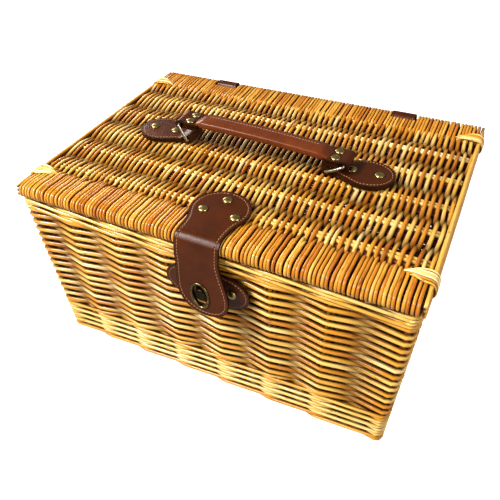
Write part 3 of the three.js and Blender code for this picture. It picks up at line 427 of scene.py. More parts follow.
class Finishes:
    """All the materials of the basket, made once."""

    def __init__(self) -> None:
        """Builds the shared effects and the materials that use them."""
        fibre = make_willow_fibre()
        grain = make_leather_grain()
        wear = make_metal_wear()
        self.willow = WillowFinish("willow_varnished").make(fibre)
        self.wall = WillowFinish("willow_wall", shift=0.07).make(fibre)
        self.golden = WillowFinish("willow_golden", shift=0.1, wander=0.35).make(fibre)
        self.pale = WillowFinish("willow_peeled", shift=0.34, wander=0.2, coat=0.2).make(fibre)
        self.dark = WillowFinish("willow_shaded", shift=-0.15).make(fibre)
        self.leather = LeatherFinish("leather_saddle", "2A1204", "50260D", 0.29, 0.04).make(grain)
        self.grip = LeatherFinish("leather_grip", "3E190A", "6E3819", 0.3, 0.1).make(grain)
        self.edge = PlainFinish("leather_cut_edge", "241A1C", "4A4046", 0.5, 900.0).make()
        self.thread = PlainFinish("thread_waxed", "8C6040", "C79A6E", 0.6, 1800.0).make()
        self.bronze = MetalFinish("brass_darkened", "8A7A54", "3A2E1C").make(wear)
        # Blackened brass: the knob's own colour, and painted shade on the eyelet's inner wall.
        self.jet = MetalFinish("brass_blackened_and_hole_shade", "4A3E2A", "17120A").make(wear)
        self.brass = MetalFinish("brass_aged", "C2B078", "6F6136").make(wear)
        self.steel = MetalFinish("ring_wire", "B9B2A0", "70695A", 0.28).make(wear)


# Small tools


def link(name: str, data: bpy.types.ID) -> bpy.types.Object:
    """Makes an object from a mesh, curve, light or camera and links it to the scene."""
    thing = bpy.data.objects.new(name, data)
    bpy.context.scene.collection.objects.link(thing)
    return thing


def link_mesh(name: str, bm: bmesh.types.BMesh) -> bpy.types.Object:
    """Makes a linked object from an edited mesh, and frees that."""
    mesh = bpy.data.meshes.new(name)
    bm.to_mesh(mesh)
    bm.free()
    return link(name, mesh)


def smooth_step(value: float, low: float, high: float) -> float:
    """Rises from 0 to 1 between two values, level at both."""
    share = min(1.0, max(0.0, (value - low) / (high - low)))
    return share * share * (3 - 2 * share)


def round_off(share: float, power: float = 2.0) -> float:
    """Height of a rounded end: 1 at a share of 0, and 0 at a share of 1."""
    return math.sqrt(max(0.0, 1 - share**power))


def ray(angle: float, reach: float = 1.0) -> Vector:
    """Flat vector at an angle from X."""
    return Vector((math.cos(angle), math.sin(angle), 0)) * reach


def nearest(places: np.ndarray, line: np.ndarray) -> np.ndarray:
    """Distance from each flat place to the nearest point of a line."""
    return np.sqrt(((places[:, None, :] - line[None, :, :]) ** 2).sum(axis=2)).min(axis=1)


def run_along(places: Sequence[Vector]) -> list[float]:
    """Length run at each place of a line."""
    run = [0.0]
    for here, there in zip(places, places[1:]):
        run.append(run[-1] + (there - here).length)
    return run


def find_place(run: Sequence[float], distance: float) -> tuple[int, float]:
    """Finds a distance along a line: the number of the next place, and the share of the way to it."""
    index = max(1, min(len(run) - 1, int(np.searchsorted(run, distance))))
    return index, (distance - run[index - 1]) / max(run[index] - run[index - 1], 1e-6)


# Strands: rods, twists and threads


@dataclass
class Strand:
    """One rod or thread, as the places that its middle passes through.

    Attributes:
        points: Places in millimetres.
        radius: Half its thickness.
        tone: Its shade, from 0, dark, to 1, pale.
        closed: Whether its end joins its start.
        steps: Rings made from one place to the next.
        tip: Share of the radius left at a free end.
        kinked: Whether it runs straight from place to place.
        girths: Half its thickness at each place, or none where it is the same all along.
    """

    points: list[Vector]
    radius: float
    tone: float = 0.5
    closed: bool = False
    steps: int = 3
    tip: float = 1.0
    kinked: bool = False
    girths: list[float] = field(default_factory=list)

    def knots(self) -> list[tuple[Vector, float]]:
        """Places and radii of its curve: a kinked strand's straight runs are cut into short ones."""
        places = list(zip(self.points, self.girths or [self.radius] * len(self.points)))
        if not self.kinked:
            return places
        ends = places[1:] + places[:1]
        cut: list[tuple[Vector, float]] = []
        for (here, thick), (there, thin) in zip(places, ends if self.closed else ends[:-1]):
            count = max(1, round((there - here).length / STRAIGHT_RUN))
            shares = [i / count for i in range(count)]
            cut += [(here.lerp(there, share), thick + (thin - thick) * share) for share in shares]
        return cut if self.closed else cut + places[-1:]

    def rings(self) -> int:
        """Counts the rings that the finished mesh has for it."""
        if self.kinked:
            return len(self.knots())
        if self.closed:
            return len(self.points) * self.steps
        return (len(self.points) - 1) * self.steps + 1


Shelter = Callable[[np.ndarray], list[tuple[np.ndarray, np.ndarray]]]


def lay_strands(
    name: str, strands: Sequence[Strand], corners: int = 8, shelter: Shelter | None = None
) -> bpy.types.Object:
    """Bends strands as curves and turns them into one mesh with its tone and fibre attributes.

    Args:
        name: The piece's name.
        strands: The strands, in millimetres.
        corners: Corners of a strand's section.
        shelter: Gives the depth of places under each open face, and the way that face looks, for the painted
            shade.

    Returns:
        The finished mesh object, in metres.
    """
    curve = bpy.data.curves.new(name + "_line", "CURVE")
    curve.dimensions = "3D"
    curve.bevel_depth = 1.0
    curve.bevel_resolution = (corners - 4) // 2
    for strand in strands:
        spline = curve.splines.new("BEZIER")
        knots = strand.knots()
        spline.bezier_points.add(len(knots) - 1)
        spline.use_cyclic_u = strand.closed
        spline.resolution_u = strand.steps
        for (place, girth), knot in zip(knots, spline.bezier_points):
            knot.co = place
            knot.radius = girth
            knot.handle_left_type = "VECTOR" if strand.kinked else "AUTO"
            knot.handle_right_type = knot.handle_left_type
        if not strand.closed:
            for end in (0, -1):
                spline.bezier_points[end].radius = strand.radius * strand.tip
    line = link(name + "_line", curve)
    shape = line.evaluated_get(bpy.context.evaluated_depsgraph_get())
    mesh = bpy.data.meshes.new_from_object(shape)
    bpy.data.objects.remove(line)
    bpy.data.curves.remove(curve)
    mesh.name = name
    mark_fibres(mesh, strands, corners, shelter)
    bm = bmesh.new()
    bm.from_mesh(mesh)
    bmesh.ops.holes_fill(bm, edges=[edge for edge in bm.edges if edge.is_boundary], sides=0)
    bm.transform(Matrix.Scale(MM, 4))
    bm.to_mesh(mesh)
    bm.free()
    mesh.shade_smooth()
    return link(name, mesh)


def paint_crevice_shade(places: np.ndarray, ways: np.ndarray, shelter: Shelter) -> np.ndarray:
    """Share of painted shade at each point between the rods, from how deep it lies under the open faces and
    which way it looks.

    Args:
        places: Points in millimetres.
        ways: The way that each point looks, from its strand's middle.
        shelter: Depth under each open face, and the way that face looks.

    Returns:
        A share from 0, on the crests, to 1, deep in the weave.
    """
    crest, deep, stray_light = 0.3, 7.0, 0.18
    facing = np.zeros(len(places))
    nearest_face = np.zeros(len(places))
    for depth, out in shelter(places):
        share = np.clip((depth - crest) / deep, 0.0, 1.0)
        reach = 1.0 - share * share * (3.0 - 2.0 * share)
        facing = np.maximum(facing, np.clip((ways * out).sum(axis=1), 0.0, 1.0) * reach)
        nearest_face = np.maximum(nearest_face, reach)
    return 1.0 - np.clip(facing + stray_light * nearest_face, 0.0, 1.0)


def mark_fibres(
    mesh: bpy.types.Mesh, strands: Sequence[Strand], corners: int, shelter: Shelter | None
) -> None:
    """Writes each strand's tone, the place along and across it and its painted shade on the mesh's points.

    Args:
        mesh: The mesh of all the strands, ring after ring.
        strands: The strands in the same order.
        corners: Corners of each ring.
        shelter: Depth under each open face, from which the painted shade is worked out, or None where no
            shade is painted.
    """
    places = np.empty(len(mesh.vertices) * 3, np.float32)
    mesh.vertices.foreach_get("co", places)
    places = places.reshape(-1, corners, 3)
    if len(places) != sum(strand.rings() for strand in strands):
        raise ValueError(f"{mesh.name}: {len(places)} rings don't match its strands")
    middles = places.mean(axis=1)
    turn = np.arange(corners) * 2 * math.pi / corners
    tones = np.empty((len(places), corners), np.float32)
    fibres = np.empty((len(places), corners, 3), np.float32)
    start = 0
    for number, strand in enumerate(strands):
        rows = slice(start, start + strand.rings())
        gaps = np.linalg.norm(np.diff(middles[rows], axis=0), axis=1)
        run = np.concatenate([[0.0], np.cumsum(gaps)]) + number * FIBRE_GAP
        tones[rows] = strand.tone
        fibres[rows, :, 0] = run[:, None]
        fibres[rows, :, 1] = strand.radius * np.cos(turn)
        fibres[rows, :, 2] = strand.radius * np.sin(turn)
        start = rows.stop
    mesh.attributes.new("tone", "FLOAT", "POINT").data.foreach_set("value", tones.ravel())
    mesh.attributes.new("fibre", "FLOAT_VECTOR", "POINT").data.foreach_set("vector", fibres.ravel())
    # Painted shade: points deep in the weave and turned away from the open faces are stored with a share of
    # dark colour.
    if shelter:
        ways = places - middles[:, None]
        ways /= np.linalg.norm(ways, axis=2, keepdims=True)
        painted_shade = paint_crevice_shade(places.reshape(-1, 3), ways.reshape(-1, 3), shelter).astype(np.float32)
        mesh.attributes.new("painted_shade", "FLOAT", "POINT").data.foreach_set("value", painted_shade)


# Fitting a finished piece to the frame


def dress(
    piece: bpy.types.Object,
    materials: Iterable[bpy.types.Material],
    body: str | None,
    replaces: Sequence[str] = (),
) -> bpy.types.Object:
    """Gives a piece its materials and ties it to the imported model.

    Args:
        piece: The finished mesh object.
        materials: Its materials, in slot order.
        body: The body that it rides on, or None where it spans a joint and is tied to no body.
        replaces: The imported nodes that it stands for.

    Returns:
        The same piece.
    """
    piece.data.materials.clear()
    for material in materials:
        piece.data.materials.append(material)
    if body:
        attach(piece, body)
    if replaces:
        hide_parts(*replaces)
    log.info("%s: %d faces on %s", piece.name, len(piece.data.polygons), body or "two bodies")
    return piece


def refine(piece: bpy.types.Object) -> None:
    """Makes a piece's modifiers part of its mesh, so that nothing is left live."""
    shape = piece.evaluated_get(bpy.context.evaluated_depsgraph_get())
    mesh = bpy.data.meshes.new_from_object(shape)
    old = piece.data
    piece.modifiers.clear()
    piece.data = mesh
    bpy.data.meshes.remove(old)
    mesh.name = piece.name


# Shape of the basket


@dataclass(frozen=True)
class BasketPlan:
    """Outline of the body and lid, in millimetres.

    Attributes:
        rim_half_x: Half the body's length at the rim.
        rim_half_y: Half the body's depth at the rim.
        height: Floor to rim.
        end_taper: How far each end leans in at the floor.
        side_taper: How far the front and back lean in at the floor.
        lid_bottom: The lid's underside.
        lid_top: The lid's upper face.
        lid_half_x: Half the lid's length.
        lid_half_y: Half the lid's depth.
        hinges: Places of the left and right hinge.
    """

    rim_half_x: float = 198.0
    rim_half_y: float = 148.0
    height: float = 184.2
    end_taper: float = 18.0
    side_taper: float = 15.0
    lid_bottom: float = 184.5
    lid_top: float = 200.0
    lid_half_x: float = 200.0
    lid_half_y: float = 150.0
    hinges: tuple[float, float] = (-109.0, 113.0)

    def half_x(self, z: float) -> float:
        """Half the body's length at a height."""
        return self.rim_half_x - self.end_taper * (1 - z / self.height)

    def half_y(self, z: float) -> float:
        """Half the body's depth at a height."""
        return self.rim_half_y - self.side_taper * (1 - z / self.height)

    def wall_tilt(self) -> float:
        """Lean of the front wall, in radians."""
        return math.atan(self.side_taper / self.height)


@dataclass
class Part:
    """A part of the basket.

    Attributes:
        plan: The basket's outline.
        finishes: The materials.
    """

    plan: BasketPlan
    finishes: Finishes

    def lay(
        self, name: str, strands: Sequence[Strand], material: bpy.types.Material, slot: Slot,
        body: str | None, *nodes: str, corners: int = 8, shelter: Shelter | None = None
    ) -> bpy.types.Object:
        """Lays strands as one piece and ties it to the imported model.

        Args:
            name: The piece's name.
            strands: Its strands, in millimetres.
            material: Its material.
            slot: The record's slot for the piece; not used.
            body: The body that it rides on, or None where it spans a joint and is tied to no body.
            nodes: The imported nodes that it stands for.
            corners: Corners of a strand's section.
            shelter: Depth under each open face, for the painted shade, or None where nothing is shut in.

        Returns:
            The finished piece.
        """
        return dress(lay_strands(name, strands, corners, shelter), [material], body, nodes)

    def thread(
        self, name: str, stitches: Sequence[Strand], body: str | None, slot: Slot = Slot.LEATHER
    ) -> bpy.types.Object:
        """Lays stitches as one piece of thread."""
        return self.lay(name, stitches, self.finishes.thread, slot, body, corners=4)

    def skin(self, piece: bpy.types.Object, body: str | None, *nodes: str) -> bpy.types.Object:
        """Gives a leather piece its face and its painted edge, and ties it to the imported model."""
        return dress(piece, [self.finishes.leather, self.finishes.edge], body, nodes)

    def rivet(self, name: str, place: Matrix, body: str, node: str) -> None:
        """Sets a domed rivet head with its +Z out of the leather, where it stands for a node."""
        radius, dome, foot = 4.8, 2.4, 0.35
        profile = [(0.5, -0.15), (0.05, 0.1), (0.0, foot)]
        for step in range(1, 8):
            angle = math.radians(step * 12)
            profile.append((radius * (1 - math.cos(angle)), foot + (dome - foot) * math.sin(angle)))
        head = turn_oval(name, profile, (radius, radius), place, corners=20)
        dress(head, [self.finishes.brass], body, [node])


@dataclass
class Crossing:
    """A stake or corner post that the weavers pass, at one height.

    Attributes:
        x: Place of its axis.
        y: Place of its axis.
        outs: Directions out of the basket there: one for a stake, two for a corner.
        girth: Half its thickness.
    """

    x: float
    y: float
    outs: list[Vector]
    girth: float

    def passed(self, z: float, outside: bool, rod: float) -> list[Vector]:
        """Lists the places where a weaver goes past it.

        Args:
            z: Height of the weaver.
            outside: Whether it goes past on the outside.
            rod: The weaver's radius.

        Returns:
            Two places, or three round the outside of a corner and one on its inside.
        """
        half_pass = 1.7
        reach = self.girth + rod
        snug, slack, corner_slack = reach * 0.98, reach * 1.2, reach * 1.02
        middle = sum(self.outs, Vector()).normalized()
        spot = Vector((self.x, self.y, z))
        if len(self.outs) == 1:
            along = UP.cross(middle) * half_pass
            spot += middle * (snug if outside else -slack)
            return [spot - along, spot + along]
        if not outside:
            return [spot - middle * corner_slack]
        return [spot + way * snug for way in (self.outs[0], middle, self.outs[1])]


@dataclass
class WallWeave(Part):
    """The body's woven walls with their stakes, posts, bands and borders.

    Attributes:
        stake_pitch: Stake to stake at the rim.
        front_shift: The stake nearest the middle of the front, at the rim.
        stake_inset: Stake axis behind the outer face.
        post_inset: Post axis behind the outer face.
        corner_clear: Nearest that a stake stands to the wall's end, at the rim.
        stake_girth: Half a stake's thickness.
        post_girth: Half a post's thickness.
        rod: Half a weaver's thickness.
        field_low: Height of the lowest plain row.
        field_high: Height of the highest plain row.
        row_pitch: Row to row.
        thickness: Outer face to inner face.
        outer_swell: Share of its thickness that a row has where it shows outside.
        inner_swell: The same where it shows inside.
        top_swell: How much thicker again the highest row is there.
        wale_swell: Share of its thickness that a band's rod has where it shows inside.
        by_stake_girth: Half the thickness of the thin stakes beside each stake.
        by_stake_aside: How far beside it they stand.
        stroke_rod: Half the thickness of a rod in the bands.
        stroke_rise: Climb of a band's rod past two stakes.
        low_bands: Heights of the bands under the plain rows.
        rim_bands: Heights of the bands above them.
        foot_band: Height of the band behind the foot border.
        foot: Height of the foot border, where the stakes and posts start.
        rope_corner: Radius of the borders' corners.
        wrap_pitch: Climb of one turn of the rod round a post at the rim.
        wrap_rod: Half that rod's thickness.
        dice: Its own random draws.
    """

    stake_pitch: float = 53.4
    front_shift: float = 18.8
    stake_inset: float = 6.4
    post_inset: float = 8.2
    corner_clear: float = 26.0
    stake_girth: float = 2.3
    post_girth: float = 3.8
    rod: float = 2.22
    field_low: float = 43.4
    field_high: float = 166.5
    row_pitch: float = 4.56
    thickness: float = 13.0
    outer_swell: float = 0.96
    inner_swell: float = 1.42
    top_swell: float = 1.45
    wale_swell: float = 1.35
    by_stake_girth: float = 1.4
    by_stake_aside: float = 4.1
    stroke_rod: float = 1.85
    stroke_rise: float = 3.85
    low_bands: tuple[float, ...] = (12.4, 21.0, 29.6, 38.2)
    rim_bands: tuple[float, ...] = (171.6, 179.5)
    foot_band: float = 4.25
    foot: float = 5.0
    rope_corner: float = 7.0
    wrap_pitch: float = 3.6
    wrap_rod: float = 1.8
    dice: random.Random = field(default_factory=lambda: random.Random(11))

    def stake_places(self, half: float, shift: float) -> list[float]:
        """Places of the stakes along a wall, at the rim."""
        reach = half - self.corner_clear
        first = math.ceil((-reach - shift) / self.stake_pitch)
        last = math.floor((reach - shift) / self.stake_pitch)
        return [shift + i * self.stake_pitch for i in range(first, last + 1)]

    def crossings(self, z: float) -> list[Crossing]:
        """Lists what a weaver passes on its way round, from the front left corner."""
        halves = (self.plan.half_x(z), self.plan.half_y(z))
        rims = ((self.plan.rim_half_x, self.front_shift), (self.plan.rim_half_y, 0.0))
        post_x, post_y = (half - self.post_inset for half in halves)
        wall_x, wall_y = (half - self.stake_inset for half in halves)
        across, along = (
            [place * half / rim for place in self.stake_places(rim, shift)]
            for half, (rim, shift) in zip(halves, rims)
        )
        front, back = Vector((0, -1, 0)), Vector((0, 1, 0))
        left, right = Vector((-1, 0, 0)), Vector((1, 0, 0))
        walls = (
            (left, front, [(x, -wall_y) for x in across]),
            (front, right, [(wall_x, y) for y in along]),
            (right, back, [(x, wall_y) for x in reversed(across)]),
            (back, left, [(-wall_x, y) for y in reversed(along)]),
        )
        found = []
        for before, out, spots in walls:
            corner = before + out
            found.append(Crossing(corner.x * post_x, corner.y * post_y, [before, out], self.post_girth))
            found += [Crossing(x, y, [out], self.stake_girth) for x, y in spots]
        return found

    def weave(
        self, passes: Iterable[tuple[Crossing, float, bool]], rod: float, inside: float, outside: float,
        tones: tuple[float, float]
    ) -> Strand:
        """Weaves one rod round the body.

        Args:
            passes: What it passes, at which height, and whether on the outside.
            rod: Half its thickness.
            inside: Share of that thickness on the inside.
            outside: Share of it on the outside.
            tones: Darkest and palest tone.

        Returns:
            The closed strand.
        """
        points: list[Vector] = []
        girths: list[float] = []
        for crossing, level, is_outside in passes:
            places = crossing.passed(level, is_outside, rod)
            points += places
            girths += [rod * (outside if is_outside else inside)] * len(places)
        return Strand(points, rod, self.dice.uniform(*tones), closed=True, kinked=True, girths=girths)

    def plain_rows(self) -> list[Strand]:
        """Rows that pass each stake on the other side from the row below."""
        rows = round((self.field_high - self.field_low) / self.row_pitch) + 1
        strands = []
        for row in range(rows):
            z = self.field_low + row * self.row_pitch
            rod = self.rod * self.dice.uniform(0.93, 1.06)
            swell = self.inner_swell * (self.top_swell if row == rows - 1 else 1.0)
            passes = [
                (crossing, z + self.dice.uniform(-0.35, 0.35), (number + row) % 2 == 0)
                for number, crossing in enumerate(self.crossings(z))
            ]
            strands.append(self.weave(passes, rod, swell, self.outer_swell, (0.42, 0.78)))
        return strands

    def waled_rows(self, levels: Sequence[float], rise: float, tones: tuple[float, float]) -> list[Strand]:
        """Bands of three rods that each pass in front of two stakes and behind one.

        Args:
            levels: Height of each set.
            rise: Climb of a stroke, negative where it falls.
            tones: Darkest and palest tone.

        Returns:
            Closed strands, each going round three times where it has to.
        """
        strands = []
        for number, base in enumerate(levels):
            ring = self.crossings(base)
            laps = 3 if len(ring) % 3 else 1
            for first in range(3 // laps):
                steps = [(place + first + number) % 3 for place in range(len(ring) * laps)]
                passes = [
                    (crossing, base + rise * (step - 0.5) + self.dice.uniform(-0.3, 0.3), step < 2)
                    for crossing, step in zip(ring * laps, steps)
                ]
                strands.append(self.weave(passes, self.stroke_rod, self.wale_swell, 1.0, tones))
        return strands

    def sheltered(self, places: np.ndarray) -> list[tuple[np.ndarray, np.ndarray]]:
        """Depth of places under the walls' outer and inner faces, and the way those look, for the painted
        shade.
        """
        plan = self.plan
        lean = 1.0 - places[:, 2] / plan.height
        side_x = plan.rim_half_x - plan.end_taper * lean - np.abs(places[:, 0])
        side_y = plan.rim_half_y - plan.side_taper * lean - np.abs(places[:, 1])
        out = np.zeros_like(places)
        out[:, 0] = np.where(side_x < side_y, np.sign(places[:, 0]), 0.0)
        out[:, 1] = np.where(side_x < side_y, 0.0, np.sign(places[:, 1]))
        depth = np.minimum(side_x, side_y)
        return [(depth, out), (self.thickness - depth, -out)]

    def ring_line(self, z: float, inset: float, step: float) -> list[Vector]:
        """Closed line round the body, an inset inside its outer face, in rough steps."""
        corner = self.rope_corner
        half_x, half_y = self.plan.half_x(z) - inset, self.plan.half_y(z) - inset
        line: list[Vector] = []
        for sign_x, sign_y, start in ((1, -1, -90), (1, 1, 0), (-1, 1, 90), (-1, -1, 180)):
            middle = Vector((sign_x * (half_x - corner), sign_y * (half_y - corner), z))
            line += [middle + ray(math.radians(start + turn), corner) for turn in (0, 45, 90)]
        filled: list[Vector] = []
        for here, there in zip(line, line[1:] + line[:1]):
            count = max(1, round((there - here).length / step))
            filled += [here.lerp(there, i / count) for i in range(count)]
        return filled

    def rope(
        self, z: float, inset: float, rod: float, lay: float, strands: int, tones: tuple[float, float]
    ) -> list[Strand]:
        """A twist of rods laid round the body.

        Args:
            z: Height of its middle.
            inset: Its middle behind the outer face.
            rod: Half a rod's thickness.
            lay: Length of one full twist.
            strands: Rods in the twist.
            tones: Darkest and palest tone.

        Returns:
            The rods as closed strands.
        """
        line = self.ring_line(z, inset, lay / 6)
        turns = round(len(line) / 6)
        swing = rod * (1.02 if strands == 2 else 1.15)  # two rods just touch, three need room
        made = []
        for number in range(strands):
            points = []
            for place, spot in enumerate(line):
                ahead = line[(place + 1) % len(line)] - line[place - 1]
                side = ahead.normalized().cross(UP)
                angle = 2 * math.pi * (turns * place / len(line) + number / strands)
                points.append(spot + side * math.cos(angle) * swing + UP * math.sin(angle) * swing)
            made.append(Strand(points, rod, self.dice.uniform(*tones), closed=True, steps=2))
        return made

    def standing(self, outs: int, low: float, high: float) -> list[tuple[Vector, Vector, list[Vector]]]:
        """Foot, head and ways out of each stake, which has one way out, or of each post, which has two."""
        return [
            (Vector((a.x, a.y, low)), Vector((b.x, b.y, high)), a.outs)
            for a, b in zip(self.crossings(low), self.crossings(high))
            if len(a.outs) == outs
        ]

    def uprights(self, low: float, high: float) -> list[Strand]:
        """Stakes from the foot to the rim, each between two thinner by-stakes."""
        sticks = []
        for foot, head, outs in self.standing(outs=1, low=low, high=high):
            sticks.append(Strand([foot, head], self.stake_girth, 0.45, steps=2))
            aside = outs[0].cross(UP) * self.by_stake_aside
            for way in (-1, 1):
                ends = [foot + aside * way, head + aside * way]
                sticks.append(Strand(ends, self.by_stake_girth, 0.4, steps=2))
        return sticks

    def corner_wraps(self) -> list[Strand]:
        """The rod end that is turned round each post at the rim."""
        wraps = []
        for crossing in self.crossings(self.plan.height - 6.0):
            if len(crossing.outs) == 1:
                continue
            for turn in range(3):
                z = self.plan.height - 13.0 + self.wrap_pitch * turn
                points = [
                    Vector((crossing.x, crossing.y, z + self.wrap_pitch * step / 8))
                    + ray(2 * math.pi * step / 8, crossing.girth + self.wrap_rod + 0.1)
                    for step in range(8)
                ]
                wraps.append(Strand(points, self.wrap_rod, self.dice.uniform(0.66, 0.86), tip=0.6))
        return wraps

    def build(self) -> None:
        """Weaves the walls and ties each piece to the body."""
        band_tones = (0.5, 0.8)

        def golden(name: str, strands: Sequence[Strand], *nodes: str) -> None:
            """Lays golden strands on the body."""
            material = self.finishes.golden
            self.lay(name, strands, material, Slot.GOLDEN, "basket", *nodes, shelter=self.sheltered)

        rows = self.plain_rows()
        self.lay("wall_plain_weave", rows, self.finishes.wall, Slot.WILLOW, "basket", "wall_weave",
                 shelter=self.sheltered)
        golden("wall_lower_wale", self.waled_rows(self.low_bands, self.stroke_rise, band_tones))
        rim = self.waled_rows(self.rim_bands, -self.stroke_rise, (0.56, 0.84))
        rim += self.uprights(low=self.foot, high=181.5)
        rim += self.rope(z=179.6, inset=7.4, rod=1.9, lay=30.0, strands=2, tones=(0.5, 0.7))
        rim += self.corner_wraps()
        golden("rim_and_stakes", rim, "stakes_and_rim")
        names = ("front_left", "front_right", "back_right", "back_left")
        for name, (foot, head, _) in zip(names, self.standing(outs=2, low=self.foot, high=170.0)):
            post = Strand([foot, head], self.post_girth, 0.4, steps=2, tip=0.9)
            self.lay("post_" + name, [post], self.finishes.dark, Slot.DARK, "basket", "corner_post_" + name,
                     corners=12, shelter=self.sheltered)
        border = self.rope(z=self.foot, inset=7.6, rod=2.0, lay=34.0, strands=3, tones=(0.45, 0.65))
        border += self.waled_rows([self.foot_band], self.stroke_rise, band_tones)
        golden("foot_twist", border, "foot_border")


def evenly(length: float, pitch: float) -> list[float]:
    """Lists places at a pitch over a length, centred on 0."""
    count = int(length / pitch)
    return [(number - count / 2) * pitch for number in range(count + 1)]


@dataclass
class BaseWeave(Part):
    """The woven bottom: weavers front to back over three sticks.

    Attributes:
        inset: How far inside the outer face the panel ends.
        stick_rows: Places of the sticks, front to back.
        stick: Half a stick's thickness.
        rod: Half a weaver's thickness.
        pitch: Weaver to weaver.
        level: Height of the panel's middle.
        dice: Its own random draws.
    """

    inset: float = 9.5
    stick_rows: tuple[float, ...] = (-78.0, 0.0, 78.0)
    stick: float = 2.3
    rod: float = 1.45
    pitch: float = 3.5
    level: float = 5.0
    dice: random.Random = field(default_factory=lambda: random.Random(23))

    def build(self) -> None:
        """Weaves the bottom and ties it to the body."""
        half_x = self.plan.half_x(0) - self.inset
        half_y = self.plan.half_y(0) - self.inset
        strands = []
        for number, x in enumerate(evenly(2 * half_x, self.pitch)):
            side = 1 if number % 2 else -1
            points = [Vector((x, -half_y, self.level))]
            for row, y in enumerate(self.stick_rows):
                lift = side * (1 if row % 2 else -1) * (self.stick + self.rod) * 0.9
                points.append(Vector((x + self.dice.uniform(-0.4, 0.4), y, self.level + lift)))
            points.append(Vector((x, half_y, self.level)))
            strands.append(Strand(points, self.rod, self.dice.uniform(0.4, 0.7), steps=5))
        willow, dark = self.finishes.willow, self.finishes.dark
        self.lay("base_plain_weave", strands, willow, Slot.WILLOW, "basket", "base_weave", corners=6)
        for number, y in enumerate(self.stick_rows, 1):
            ends = [Vector((side * (half_x + 2), y, self.level)) for side in (-1, 1)]
            stick = Strand(ends, self.stick, 0.4, steps=2)
            self.lay(f"base_rod_{number}", [stick], dark, Slot.DARK, "basket", f"base_stick_{number}",
                     corners=12)


